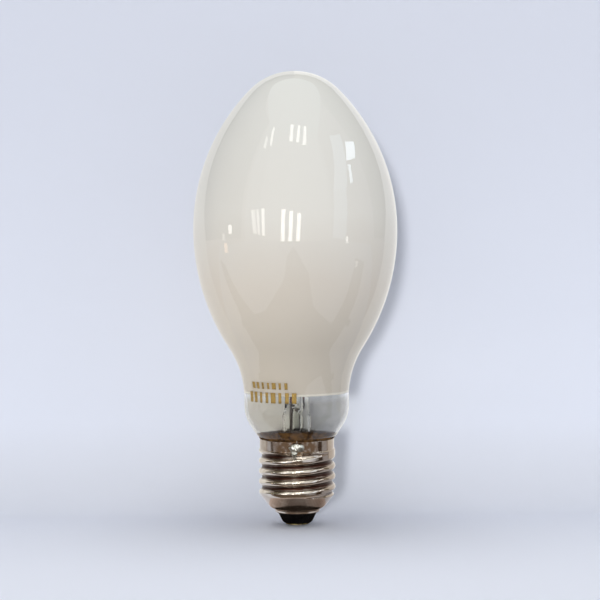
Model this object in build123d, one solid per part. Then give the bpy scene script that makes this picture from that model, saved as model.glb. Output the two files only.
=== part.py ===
from build123d import *
from math import atan2, cos, degrees, hypot, radians, sin, sqrt, tan
import os

# High pressure sodium lamp, 70 mm across and 156 mm long: an elliptical glass bulb, coated white
# inside, on an E27 screw cap. Millimetres. +Z runs up the lamp's axis, and the origin is the centre
# of the contact's face. The side solder joint faces -Y. Heights are stacked from the contact up.

# Insulator and the contact in its foot
insulator_foot_height = 0.6
insulator_foot_radius = 4.9
insulator_foot_fillet = 1.2
insulator_waist_radius = 6.7
insulator_top_margin = 2.0
contact_radius = 4.1
contact_thickness = 0.4
contact_recess = 0.25
eyelet_wall = 0.3
eyelet_bore_radius = 0.8
eyelet_length = 2.0
contact_solder_radius = 2.7
contact_land_radius = 1.7

# E27 cap, pressed from sheet, with a knuckle thread rolled into it
cap_wall = 0.3
lip_height = 4.4
bead_radius = 7.7
bead_height = 0.9
bead_fillet = 0.35
bead_groove_fillet = 0.4
cap_waist_radius = 9.6
lower_cone_slope = 62.0
upper_cone_slope = 37.5
cap_waist_fillet = 4.0
cap_shoulder_fillet = 2.0
thread_pitch = 3.629
thread_crest_radius = 13.2
thread_root_radius = 12.1
thread_turns = 3.75
thread_start_angle = -20.0
thread_fade_angle = 100.0
thread_run_in = 0.15
crest_land = 0.35
turn_gap = 0.16
collar_radius = 12.85
collar_rise = 5.25
collar_length = 3.6
collar_fillet = 0.25

# Bulb glass, measured outside
glass_wall = 0.9
cement_gap = 0.6
neck_clearance = 1.0
seal_neck_length = 14.6
seat_fillet_radius = 1.0
seat_corner_radius = 1.4
cone_overhang = 0.55
shoulder_angle = 33.0
shoulder_radius = 12.0
neck_radius = 18.0
neck_length = 2.65
neck_blend_radius = 32.5
lower_belly_radius = 74.3
belly_radius = 35.0
belly_rise = 54.31
crown_radius = 21.4

# White powder coating inside the glass, which stops above the clear neck
coating_thickness = 0.12
coating_edge_rise = 15.4

# Cement between the cap's collar and the glass
cement_depth = 3.0
cement_rise = 0.35

# Side solder joint on the collar
solder_width = 5.6
solder_height = 3.4
solder_thickness = 1.1
solder_drop = 1.7

# Glass stem: flare, tube, pinch and exhaust tube, fused into one
stem_radius = 5.0
stem_wall = 1.0
flare_radius = 4.6
stem_tube_length = 17.0
pinch_blend_length = 5.0
pinch_length = 6.5
pinch_margin = 1.6
pinch_thickness = 4.2
pinch_corner_radius = 1.9
pinch_fillet = 1.0
cavity_tip_thickness = 0.8
cavity_drop = 1.0
exhaust_radius = 2.1
exhaust_wall = 0.9
exhaust_tip_drop = 1.4
exhaust_port_radius = 0.9
exhaust_port_rise = 2.4
mount_turn = 52.0

# Lead-in wires through the pinch, and the thinner wires below them
lead_radius = 0.5
lead_foot_drop = 11.0
lead_top_rise = 5.0
outer_wire_radius = 0.2
outer_wire_bend = 0.45
rim_bend_radius = 0.22
wire_end_margin = 0.3
weld_gap = 0.02

# Wire frame that carries the burner
frame_wire_radius = 0.7
frame_offset = 11.0
frame_bend_radius = 2.0
frame_weld_length = 4.0
frame_rise = 1.0
bridge_clearance = 5.5
bridge_reach = 9.0
spring_width = 5.0
spring_thickness = 0.2
spring_foot_offset = 7.5
spring_clearance = 0.05
support_rod_offset = 7.0
support_rod_overrun = 1.5

# Burner: a sintered alumina tube with a plug, a niobium tube and an electrode at each end
burner_rise = 9.1
burner_radius = 3.1
burner_wall = 0.75
plug_length = 3.0
plug_recess = 0.6
niobium_radius = 1.5
niobium_wall = 0.35
niobium_reach = 9.5
electrode_radius = 0.4
electrode_reach = 5.0
coil_thickness = 0.5
coil_length = 2.4
coil_setback = 0.8
amalgam_radius = 0.6

# Straps that tie the burner's ends to the frame
strap_height = 3.0
strap_thickness = 0.2
strap_overhang = 1.2
strap_inset = 3.0
strap_run_in = 1.8
upper_strap_bow = 2.6
lower_strap_bow = 0.2
strap_bend_radius = 0.6

# Getter ring on its own stub of wire
getter_radius = 3.6
getter_section = 1.0
getter_trough = 0.3
getter_rise = 8.0
getter_stub_length = 3.2
getter_wire_radius = 0.35

# Cap heights and radii that follow from the sizes above
thread_depth = thread_crest_radius - thread_root_radius
thread_arc_radius = (thread_depth**2 + (thread_pitch / 2) ** 2) / (4 * thread_depth)
land_radius = thread_crest_radius - crest_land**2 / (8 * thread_arc_radius)
bead_top_height = lip_height + bead_height
waist_height = bead_top_height + (cap_waist_radius - bead_radius) / tan(radians(lower_cone_slope))
cone_rise = (land_radius - cap_waist_radius) / tan(radians(upper_cone_slope))
thread_bottom_height = waist_height + cone_rise
thread_start_height = thread_bottom_height + thread_run_in
thread_top_height = thread_start_height + thread_turns * thread_pitch
cap_height = thread_top_height + collar_rise
insulator_top_height = thread_bottom_height - insulator_top_margin
contact_top_height = contact_recess + contact_thickness
eyelet_radius = eyelet_bore_radius + eyelet_wall

# Bulb heights and radii
seat_height = cap_height + cement_gap
seal_height = seat_height - seal_neck_length
seal_neck_radius = thread_root_radius - cap_wall - neck_clearance
cone_foot_radius = collar_radius + cone_overhang
cone_run = (neck_radius - cone_foot_radius) / tan(radians(shoulder_angle))
shoulder_height = seat_height + cone_run + shoulder_radius * tan(radians(shoulder_angle / 2))
blend_height = shoulder_height + neck_length
blend_reach = neck_radius + neck_blend_radius - belly_radius + lower_belly_radius
belly_height = blend_height + sqrt((neck_blend_radius + lower_belly_radius) ** 2 - blend_reach**2)
lamp_length = belly_height + belly_rise
crown_centre_height = lamp_length - crown_radius
inner_crown_radius = crown_radius - glass_wall - coating_thickness
coating_edge_height = seat_height + coating_edge_rise

# Stem heights, and where its wires run
stem_bore_radius = stem_radius - stem_wall
flare_foot_height = seal_height - stem_wall
flare_top_height = seal_height + flare_radius
pinch_start_height = flare_top_height + stem_tube_length
pinch_height = pinch_start_height + pinch_blend_length
pinch_top_height = pinch_height + pinch_length
lead_offset = (exhaust_radius + stem_bore_radius) / 2
lead_foot_height = pinch_start_height - lead_foot_drop
lead_top_height = pinch_top_height + lead_top_rise
pinch_width = 2 * (lead_offset + lead_radius + pinch_margin)
exhaust_tip_height = flare_foot_height - exhaust_tip_drop
exhaust_bore_radius = exhaust_radius - exhaust_wall

# Burner and frame heights: the burner is centred on the widest part of the bulb, above the leads
burner_bore_radius = burner_radius - burner_wall
niobium_tip = belly_height - lead_top_height - burner_rise
burner_half = niobium_tip - niobium_reach
burner_length = 2 * burner_half
strap_distance = niobium_tip - strap_inset
bridge_height = belly_height + niobium_tip + bridge_clearance
frame_foot_offset = lead_offset + lead_radius + frame_wire_radius + weld_gap
frame_foot_height = lead_top_height - frame_weld_length
frame_bend_height = lead_top_height + frame_rise
frame_straight_height = frame_bend_height + frame_offset - frame_foot_offset


def along(start, direction, distance):
    """Point at a distance from start, in the (radius, height) plane."""
    size = hypot(*direction)
    return tuple(s + d * distance / size for s, d in zip(start, direction))


def arc_about(centre, start, end):
    """The short arc about centre from start to end."""
    radius = hypot(start[0] - centre[0], start[1] - centre[1])
    middle = tuple((s + e) / 2 - c for s, e, c in zip(start, end, centre))
    return ThreePointArc(start, along(centre, middle, radius), end)


def turned(*edges):
    """Solid turned about the lamp's axis from a closed outline of radius and height."""
    return revolve(make_face([Plane.XZ * edge for edge in edges]), Axis.Z)


def bar(radius, bottom, top):
    """Round bar on the lamp's axis between two heights."""
    return Pos(0, 0, (bottom + top) / 2) * Cylinder(radius, top - bottom)


def wire_along(path, wire_radius):
    """Round wire along a path."""
    return sweep(Plane(origin=path @ 0, z_dir=path % 0) * Circle(wire_radius), path=path)


def in_mount_plane(shape):
    """The shape turned from the XZ plane to the plane of the burner's frame."""
    return Rot(0, 0, mount_turn) * shape


def mount_point(offset, height):
    """Point at an offset from the axis in the plane of the burner's frame."""
    angle = radians(mount_turn)
    return offset * cos(angle), offset * sin(angle), height


# Bulb


def body_outline(inset):
    """Edges from the crown down to the straight neck, moved into the glass by inset."""
    flank_radius = (belly_radius**2 + belly_rise**2 - 2 * belly_rise * crown_radius) / (
        2 * (belly_radius - crown_radius)
    )
    crown_centre = (0, crown_centre_height)
    flank_centre = (belly_radius - flank_radius, belly_height)
    lower_centre = (belly_radius - lower_belly_radius, belly_height)
    blend_centre = (neck_radius + neck_blend_radius, blend_height)

    to_crown = (crown_centre[0] - flank_centre[0], crown_centre[1] - flank_centre[1])
    to_blend = (blend_centre[0] - lower_centre[0], blend_centre[1] - lower_centre[1])
    top = (0, lamp_length - inset)
    crown_end = along(flank_centre, to_crown, flank_radius - inset)
    belly = (belly_radius - inset, belly_height)
    lower_end = along(lower_centre, to_blend, lower_belly_radius - inset)
    neck_top = (neck_radius - inset, blend_height)
    return [
        arc_about(crown_centre, top, crown_end),
        arc_about(flank_centre, crown_end, belly),
        arc_about(lower_centre, belly, lower_end),
        arc_about(blend_centre, lower_end, neck_top),
    ]


def neck_outline(inset):
    """Edges from the straight neck to the rim inside the cap, moved into the glass by inset."""
    slope = radians(shoulder_angle)
    cone_normal = (cos(slope), -sin(slope))
    shoulder_centre = (neck_radius - shoulder_radius, shoulder_height)
    shoulder_top = (neck_radius - inset, shoulder_height)
    shoulder_end = along(shoulder_centre, cone_normal, shoulder_radius - inset)

    # The corner arc is tangent to the cone above it and to the flat seat inside it
    corner_run = seat_corner_radius * tan(radians(90 - shoulder_angle) / 2)
    corner_centre = (cone_foot_radius - corner_run, seat_height + seat_corner_radius)
    corner_start = along(corner_centre, cone_normal, seat_corner_radius - inset)
    corner_end = (corner_centre[0], seat_height + inset)

    fillet_centre = (seal_neck_radius + seat_fillet_radius, seat_height - seat_fillet_radius)
    fillet_start = (fillet_centre[0], seat_height + inset)
    fillet_end = (seal_neck_radius - inset, fillet_centre[1])
    return [
        Line((neck_radius - inset, blend_height), shoulder_top),
        arc_about(shoulder_centre, shoulder_top, shoulder_end),
        Line(shoulder_end, corner_start),
        arc_about(corner_centre, corner_start, corner_end),
        Line(corner_end, fillet_start),
        arc_about(fillet_centre, fillet_start, fillet_end),
        Line(fillet_end, (seal_neck_radius - inset, seal_height)),
    ]


def between(outside, inside):
    """Solid turned from the wall between two outlines that run the same way."""
    ends = [Line(outside[0] @ 0, inside[0] @ 0), Line(outside[-1] @ 1, inside[-1] @ 1)]
    return turned(*outside, *inside, *ends)


def outer_bulb():
    """Blown glass bulb, open only at its neck, where the stem's flare is fused on."""
    outside = body_outline(0) + neck_outline(0)
    inside = body_outline(glass_wall) + neck_outline(glass_wall)
    return between(outside, inside)


def filled_neck():
    """The outer form of the bulb's neck without its hollow, as a cutter."""
    top = Line((0, blend_height), (neck_radius, blend_height))
    rim = Line((seal_neck_radius, seal_height), (0, seal_height))
    axis = Line((0, seal_height), (0, blend_height))
    return turned(top, *neck_outline(0), rim, axis)


def diffuser_coating():
    """White coating on the inside of the glass, from the crown to its edge on the neck."""
    layer = between(body_outline(glass_wall), body_outline(glass_wall + coating_thickness))
    return split(layer, Plane.XY.offset(coating_edge_height), keep=Keep.TOP)


# Cap


def cap_blank(inset):
    """The cap's form before its thread is rolled, as a full body moved inwards by inset."""
    step_height = cap_height - collar_length
    outline = FilletPolyline(
        (collar_radius, cap_height),
        (collar_radius, step_height),
        (land_radius, step_height - land_radius + collar_radius),
        (land_radius, thread_bottom_height),
        (cap_waist_radius, waist_height),
        (bead_radius, bead_top_height),
        (bead_radius, lip_height),
        (insulator_waist_radius, lip_height),
        radius=[
            collar_fillet,
            collar_fillet,
            cap_shoulder_fillet,
            cap_waist_fillet,
            bead_groove_fillet,
            bead_fillet,
        ],
    )
    if inset:
        outline = offset(outline, amount=inset, side=Side.RIGHT, closed=False)
    foot = (0, lip_height + inset)
    floor = Line((insulator_waist_radius, foot[1]), foot)
    top = Line((0, cap_height), (collar_radius - inset, cap_height))
    return turned(*outline.edges(), floor, Line(foot, (0, cap_height)), top)


def thread_groove(shift):
    """Cutters for the rolled groove: its full turns, and a turn at each end that fades out.

    A root arc meets two crest arcs of the same radius halfway up the flanks. The section is
    moved outwards by shift.
    """
    half_pitch = thread_pitch / 2
    edge = half_pitch - turn_gap / 2
    root_centre = (thread_root_radius + thread_arc_radius + shift, 0)
    crest_centre = thread_crest_radius - thread_arc_radius + shift
    edge_radius = crest_centre + sqrt(thread_arc_radius**2 - (turn_gap / 2) ** 2)
    outside_radius = thread_crest_radius + thread_depth
    halves = []
    for side in (-1, 1):
        centre = (crest_centre, side * half_pitch)
        flank = tuple((a + b) / 2 for a, b in zip(root_centre, centre))
        halves.append((centre, flank, (edge_radius, side * edge), (outside_radius, side * edge)))
    (low_centre, low_flank, low_edge, low_out), (high_centre, high_flank, high_edge, high_out) = halves
    outline = [
        ThreePointArc(low_flank, (thread_root_radius + shift, 0), high_flank),
        arc_about(high_centre, high_flank, high_edge),
        Line(high_edge, high_out),
        Line(high_out, low_out),
        Line(low_out, low_edge),
        arc_about(low_centre, low_edge, low_flank),
    ]
    section = make_face([Plane.XZ * line for line in outline])

    rise = thread_turns * thread_pitch
    fade_rise = thread_pitch * thread_fade_angle / 360
    fade_slope = atan2(thread_depth + crest_land, fade_rise)
    full_path = Helix(thread_pitch, rise, thread_root_radius)
    fade_path = Helix(
        thread_pitch / cos(fade_slope), fade_rise, thread_root_radius, cone_angle=degrees(fade_slope)
    )
    fade = sweep(section, path=fade_path, is_frenet=True)
    start = Pos(0, 0, thread_start_height) * Rot(0, 0, thread_start_angle)
    end = Pos(0, 0, thread_top_height) * Rot(0, 0, thread_start_angle + 360 * thread_turns)
    return start * sweep(section, path=full_path, is_frenet=True), start * Rot(180, 0, 0) * fade, end * fade


def cap_body(inset):
    """The threaded cap as a full body, moved inwards by inset."""
    body = cap_blank(inset)
    for groove in thread_groove(-inset):
        body -= groove
    return body


def cap_shell():
    """Pressed metal shell: collar, rolled thread, cone, and a lip around the insulator's waist."""
    lip_hole = bar(insulator_waist_radius, lip_height - cap_wall, lip_height + 2 * cap_wall)
    return cap_body(0) - cap_body(cap_wall) - lip_hole


def insulator():
    """Black glass moulded into the shell's foot, with a bore for the eyelet."""
    foot_top = (insulator_waist_radius, lip_height + cap_wall)
    outline = FilletPolyline(
        foot_top,
        (insulator_waist_radius, lip_height - cap_wall),
        (insulator_foot_radius, insulator_foot_height),
        (0, insulator_foot_height),
        radius=[bead_fillet, insulator_foot_fillet],
    )
    axis = Line((0, insulator_foot_height), (0, foot_top[1]))
    foot = turned(*outline.edges(), axis, Line((0, foot_top[1]), foot_top))
    plug = split(cap_blank(cap_wall), Plane.XY.offset(insulator_top_height), keep=Keep.BOTTOM)
    recess = bar(contact_radius, 0, contact_top_height)
    return plug + foot - recess - bar(eyelet_radius, 0, insulator_top_height + cap_wall)


def centre_contact():
    """Brass contact plate with an eyelet for the wire."""
    plate = bar(contact_radius, contact_recess, contact_top_height)
    eyelet = bar(eyelet_radius, contact_recess, contact_top_height + eyelet_length)
    return plate + eyelet - bar(eyelet_bore_radius, 0, contact_top_height + 2 * eyelet_length)


def centre_solder():
    """Solder button on the contact, with a flat land, closed up into the eyelet."""
    run = contact_solder_radius - contact_land_radius
    curve_centre = (contact_land_radius, (run**2 + contact_recess**2) / (2 * contact_recess))
    edge = (contact_solder_radius, contact_recess)
    button = turned(
        Line((0, 0), (contact_land_radius, 0)),
        arc_about(curve_centre, (contact_land_radius, 0), edge),
        Line(edge, (0, contact_recess)),
        Line((0, contact_recess), (0, 0)),
    )
    return button + bar(eyelet_bore_radius, 0, contact_top_height) - centre_wire()


def cement_ring():
    """Cement that fills the gap between the collar and the glass, up to the glass seat."""
    depth_height = cap_height - cement_depth
    fill = split(cap_body(cap_wall), Plane.XY.offset(depth_height), keep=Keep.TOP)
    bead = bar(collar_radius, cap_height, seat_height + cement_rise)
    return fill + bead - filled_neck() - side_wire()


def side_solder():
    """Blob of solder over the end of the side wire, on the front of the collar."""
    centre = Pos(0, -collar_radius, cap_height - solder_drop)
    blob = centre * scale(Sphere(1), by=(solder_width / 2, solder_thickness, solder_height / 2))
    return blob - bar(collar_radius, 0, cap_height) - side_wire()


# Stem


def stem():
    """Pressed glass stem: flare, tube, flat pinch around the leads, and the exhaust tube."""
    rim_inner = flare_radius + stem_radius
    flare_centre = (rim_inner, flare_top_height)
    tube = turned(
        Line((0, flare_foot_height), (seal_neck_radius, flare_foot_height)),
        Line((seal_neck_radius, flare_foot_height), (seal_neck_radius, seal_height)),
        Line((seal_neck_radius, seal_height), (rim_inner, seal_height)),
        arc_about(flare_centre, (rim_inner, seal_height), (stem_radius, flare_top_height)),
        Line((stem_radius, flare_top_height), (stem_radius, pinch_start_height)),
        Line((stem_radius, pinch_start_height), (0, pinch_start_height)),
        Line((0, pinch_start_height), (0, flare_foot_height)),
    )
    hollow = turned(
        Line((0, flare_foot_height), (rim_inner, flare_foot_height)),
        arc_about(flare_centre, (rim_inner, flare_foot_height), (stem_bore_radius, flare_top_height)),
        Line((stem_bore_radius, flare_top_height), (stem_bore_radius, pinch_start_height)),
        Line((stem_bore_radius, pinch_start_height), (0, pinch_start_height)),
        Line((0, pinch_start_height), (0, flare_foot_height)),
    )
    press = Plane.XY.offset(pinch_height)
    flat = press * RectangleRounded(pinch_width, pinch_thickness, pinch_corner_radius)
    blend = loft([Plane.XY.offset(pinch_start_height) * Circle(stem_radius), flat])
    block = extrude(flat, amount=pinch_length)
    block = fillet(block.edges().group_by(Axis.Z)[-1], pinch_fillet)
    wedge_outline = Polyline(
        (-stem_bore_radius, pinch_start_height),
        (stem_bore_radius, pinch_start_height),
        (cavity_tip_thickness / 2, pinch_height - cavity_drop),
        (-cavity_tip_thickness / 2, pinch_height - cavity_drop),
        close=True,
    )
    wedge = extrude(Plane.YZ * make_face(wedge_outline), amount=stem_radius, both=True)
    cavity = wedge & bar(stem_bore_radius, pinch_start_height, pinch_height)
    exhaust = bar(exhaust_radius, exhaust_tip_height + exhaust_radius, pinch_height)
    exhaust += Pos(0, 0, exhaust_tip_height + exhaust_radius) * Sphere(exhaust_radius)
    port_height = pinch_height + exhaust_port_rise
    channel = bar(exhaust_bore_radius, exhaust_tip_height + exhaust_radius, port_height)
    port = Pos(0, pinch_thickness / 2, port_height) * Rot(90, 0, 0) * Cylinder(
        exhaust_port_radius, pinch_thickness
    )
    body = in_mount_plane(tube + blend + block - hollow - cavity + exhaust - channel - port)
    return body - lead(1) - lead(-1)


def lead(side):
    """Stiff lead-in wire on one side of the pinch."""
    wire = bar(lead_radius, lead_foot_height, lead_top_height)
    return in_mount_plane(Pos(side * lead_offset, 0, 0) * wire)


def frame_lead():
    """Lead that carries the burner's frame and the current from the contact."""
    return lead(1)


def return_lead():
    """Lead that the burner's lower end returns to, joined to the cap."""
    return lead(-1)


def centre_wire():
    """Thin wire from the frame's lead down through the insulator to the solder button."""
    bend_height = exhaust_tip_height - outer_wire_radius
    path = FilletPolyline(
        mount_point(lead_offset, lead_foot_height),
        mount_point(lead_offset, bend_height),
        (0, 0, bend_height - lead_offset),
        (0, 0, contact_recess / 2),
        radius=outer_wire_bend,
    )
    return wire_along(path, outer_wire_radius)


def side_wire():
    """Thin wire from the return lead, out under the flare and up over the collar's rim."""
    gap_radius = seal_neck_radius + neck_clearance / 2
    rim_height = cap_height + cement_gap / 2
    outside_radius = collar_radius + outer_wire_radius + weld_gap
    crossing_height = flare_foot_height - 2 * outer_wire_radius
    path = FilletPolyline(
        mount_point(-lead_offset, lead_foot_height),
        mount_point(-lead_offset, crossing_height),
        (0, -gap_radius, crossing_height),
        (0, -gap_radius, rim_height),
        (0, -outside_radius, rim_height),
        (0, -outside_radius, cap_height - collar_length + wire_end_margin),
        radius=[outer_wire_bend, outer_wire_bend, rim_bend_radius, rim_bend_radius],
    )
    return wire_along(path, outer_wire_radius)


# Burner's frame


def frame_rod():
    """Main frame wire, from its lead up past the burner and across above it."""
    path = FilletPolyline(
        (frame_foot_offset, 0, frame_foot_height),
        (frame_foot_offset, 0, frame_bend_height),
        (frame_offset, 0, frame_straight_height),
        (frame_offset, 0, bridge_height),
        (-bridge_reach, 0, bridge_height),
        radius=frame_bend_radius,
    )
    return in_mount_plane(wire_along(path, frame_wire_radius))


def support_rod():
    """Short wire from the return lead up to the burner's lower strap."""
    straight_height = frame_bend_height + support_rod_offset - frame_foot_offset
    path = FilletPolyline(
        (-frame_foot_offset, 0, frame_foot_height),
        (-frame_foot_offset, 0, frame_bend_height),
        (-support_rod_offset, 0, straight_height),
        (-support_rod_offset, 0, belly_height - strap_distance + support_rod_overrun),
        radius=frame_bend_radius,
    )
    return in_mount_plane(wire_along(path, frame_wire_radius))


def dome_spring():
    """Leaf of spring strip, bowed up from the frame's bridge to the crown."""
    foot = bridge_height + frame_wire_radius + weld_gap
    reach = sqrt(inner_crown_radius**2 - (spring_width / 2) ** 2)
    top = crown_centre_height + reach - spring_clearance - spring_thickness / 2
    bow = ThreePointArc((-spring_foot_offset, foot), (0, top), (spring_foot_offset, foot))
    strip = Plane.XZ * trace(bow, spring_thickness)
    return in_mount_plane(extrude(strip, amount=spring_width / 2, both=True))


def strap(rod_offset, height, bow):
    """Ribbon from a frame wire past the niobium tube beside it, with a slack bow between them."""
    rod_side = -(frame_wire_radius + strap_thickness / 2 + weld_gap)
    tube_side = -(niobium_radius + strap_thickness / 2 + weld_gap)
    rod_end = rod_offset - strap_run_in
    tube_end = niobium_radius + strap_overhang
    path = FilletPolyline(
        (rod_offset + strap_overhang, rod_side),
        (rod_end, rod_side),
        ((rod_end + tube_end) / 2, (rod_side + tube_side) / 2 - bow),
        (tube_end, tube_side),
        (-strap_overhang, tube_side),
        radius=strap_bend_radius,
    )
    ribbon = extrude(trace(path, strap_thickness), amount=strap_height / 2, both=True)
    return Pos(0, 0, height) * ribbon


def upper_strap():
    """Ribbon that joins the frame wire to the upper niobium tube and lets the burner expand."""
    return in_mount_plane(strap(frame_offset, belly_height + strap_distance, upper_strap_bow))


def lower_strap():
    """Ribbon that joins the support wire to the lower niobium tube."""
    ribbon = strap(support_rod_offset, belly_height - strap_distance, lower_strap_bow)
    return in_mount_plane(Rot(0, 0, 180) * ribbon)


# Burner, whose parts are modelled about its middle and set at the light centre


def arc_tube():
    """Sintered alumina tube."""
    tube = Cylinder(burner_radius, burner_length) - Cylinder(burner_bore_radius, burner_length)
    return Pos(0, 0, belly_height) * tube


def upper(shape):
    """The shape set at the burner's upper end."""
    return Pos(0, 0, belly_height) * shape


def lower(shape):
    """The shape turned over and set at the burner's lower end."""
    return Pos(0, 0, belly_height) * Rot(180, 0, 0) * shape


def end_plug():
    """Alumina plug with a bore for the niobium tube."""
    top = burner_half - plug_recess
    return bar(burner_bore_radius, top - plug_length, top) - bar(niobium_radius, 0, burner_half)


def end_seal():
    """Ring of sealing glass in the recess above the plug."""
    return bar(burner_bore_radius, burner_half - plug_recess, burner_half) - bar(
        niobium_radius, 0, burner_length
    )


def niobium_tube():
    """Niobium tube through the plug, closed at its tip, with a floor that holds the electrode."""
    floor = burner_half - plug_recess - plug_length
    tube = bar(niobium_radius, floor, niobium_tip)
    tube = fillet(tube.edges().group_by(Axis.Z)[-1], niobium_wall)
    hollow = bar(niobium_radius - niobium_wall, floor + 2 * niobium_wall, niobium_tip - niobium_wall)
    return tube - hollow - bar(electrode_radius, 0, niobium_tip - niobium_wall)


def electrode():
    """Tungsten rod with its winding near the tip."""
    seat = burner_half - plug_recess - plug_length
    tip = seat - electrode_reach
    coil_start = tip + coil_setback
    shaft = bar(electrode_radius, tip, seat + 2 * niobium_wall)
    return shaft + bar(electrode_radius + coil_thickness, coil_start, coil_start + coil_length)


def amalgam():
    """Bead of sodium amalgam in the tip of the lower niobium tube."""
    return lower(Pos(0, 0, niobium_tip - niobium_wall - amalgam_radius) * Sphere(amalgam_radius))


# Getter


def getter_centre():
    """Centre of the getter ring, as an offset in the mount's plane and a height."""
    reach = frame_wire_radius + weld_gap + getter_stub_length + getter_radius + getter_section / 2
    return frame_offset + reach, frame_straight_height + getter_rise


def getter_ring():
    """Flat ring with a trough of getter material in its face."""
    offset_from_axis, height = getter_centre()
    outer = getter_radius + getter_section / 2
    inner = getter_radius - getter_section / 2
    ring = Cylinder(outer, getter_section) - Cylinder(inner, getter_section)
    trough = Cylinder(outer - getter_trough, getter_section)
    trough -= Cylinder(inner + getter_trough, getter_section)
    ring -= Pos(0, 0, getter_section - getter_trough) * trough
    return in_mount_plane(Pos(offset_from_axis, 0, height) * Rot(90, 0, 0) * ring)


def getter_holder():
    """Stub of wire that holds the getter ring off the frame."""
    height = getter_centre()[1]
    start = frame_offset + frame_wire_radius + weld_gap
    stub = Pos(start + getter_stub_length / 2, 0, height) * Rot(0, 90, 0) * Cylinder(
        getter_wire_radius, getter_stub_length
    )
    return in_mount_plane(stub)


nodes = {
    "outer_bulb": outer_bulb(),
    "diffuser_coating": diffuser_coating(),
    "stem": stem(),
    "frame_lead": frame_lead(),
    "return_lead": return_lead(),
    "centre_wire": centre_wire(),
    "side_wire": side_wire(),
    "frame_rod": frame_rod(),
    "support_rod": support_rod(),
    "dome_spring": dome_spring(),
    "upper_strap": upper_strap(),
    "lower_strap": lower_strap(),
    "arc_tube": arc_tube(),
    "upper_end_plug": upper(end_plug()),
    "lower_end_plug": lower(end_plug()),
    "upper_end_seal": upper(end_seal()),
    "lower_end_seal": lower(end_seal()),
    "upper_niobium_tube": upper(niobium_tube()),
    "lower_niobium_tube": lower(niobium_tube()),
    "upper_electrode": upper(electrode()),
    "lower_electrode": lower(electrode()),
    "amalgam_bead": amalgam(),
    "getter_ring": getter_ring(),
    "getter_holder": getter_holder(),
    "cap_shell": cap_shell(),
    "insulator": insulator(),
    "centre_contact": centre_contact(),
    "centre_solder": centre_solder(),
    "side_solder": side_solder(),
    "cement_ring": cement_ring(),
}
os.makedirs("parts", exist_ok=True)
for name, node in nodes.items():
    export_step(node, f"parts/{name}.step")
print("lamp length", round(lamp_length, 3), "cap height", round(cap_height, 3))
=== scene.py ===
import logging
import math
from collections.abc import Iterable, Sequence
from dataclasses import dataclass
from enum import Enum
from functools import partialmethod

import bpy
import numpy as np
from mathutils import Matrix, Vector, noise


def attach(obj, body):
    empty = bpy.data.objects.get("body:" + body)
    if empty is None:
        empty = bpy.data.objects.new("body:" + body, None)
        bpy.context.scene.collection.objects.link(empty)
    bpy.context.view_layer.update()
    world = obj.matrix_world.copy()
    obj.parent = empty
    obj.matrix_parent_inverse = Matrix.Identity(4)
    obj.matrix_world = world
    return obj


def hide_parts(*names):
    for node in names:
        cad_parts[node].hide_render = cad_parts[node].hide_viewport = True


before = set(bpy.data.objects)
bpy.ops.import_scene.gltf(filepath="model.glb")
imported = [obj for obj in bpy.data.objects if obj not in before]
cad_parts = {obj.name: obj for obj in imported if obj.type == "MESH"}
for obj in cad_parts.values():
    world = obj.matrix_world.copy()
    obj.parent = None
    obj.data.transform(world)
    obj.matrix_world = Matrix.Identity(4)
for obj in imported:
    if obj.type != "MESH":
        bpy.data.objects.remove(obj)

LOG = logging.getLogger("lamp")
MM = 0.001
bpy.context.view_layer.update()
Point = tuple[float, float]
Colour = tuple[float, float, float]
Face = tuple[int, ...]
Socket = bpy.types.NodeSocket


# ---- Node trees


class Number:
    """A number in a node tree. Each operation adds a Math node and gives the number it puts out."""

    def __init__(self, sheet: "Sheet", value: "Socket | float") -> None:
        """Keep the tree and the socket or plain number."""
        self.sheet, self.value = sheet, value

    def _do(self, operation: str, *others: "Number | Socket | float") -> "Number":
        """Add one Math node that works on this number and the others."""
        node = self.sheet.add("ShaderNodeMath", dict(enumerate([self, *others])), operation=operation)
        return Number(self.sheet, node.outputs[0])

    __add__ = partialmethod(_do, "ADD")
    __sub__ = partialmethod(_do, "SUBTRACT")
    __mul__ = partialmethod(_do, "MULTIPLY")
    __truediv__ = partialmethod(_do, "DIVIDE")
    root = partialmethod(_do, "SQRT")
    size = partialmethod(_do, "ABSOLUTE")
    rounded = partialmethod(_do, "ROUND")
    least = partialmethod(_do, "MINIMUM")
    most = partialmethod(_do, "MAXIMUM")
    above = partialmethod(_do, "GREATER_THAN")
    turn_to = partialmethod(_do, "ARCTAN2")
    wrapped = partialmethod(_do, "WRAP", math.tau, 0.0)
    cosine = partialmethod(_do, "COSINE")
    sine = partialmethod(_do, "SINE")


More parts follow.
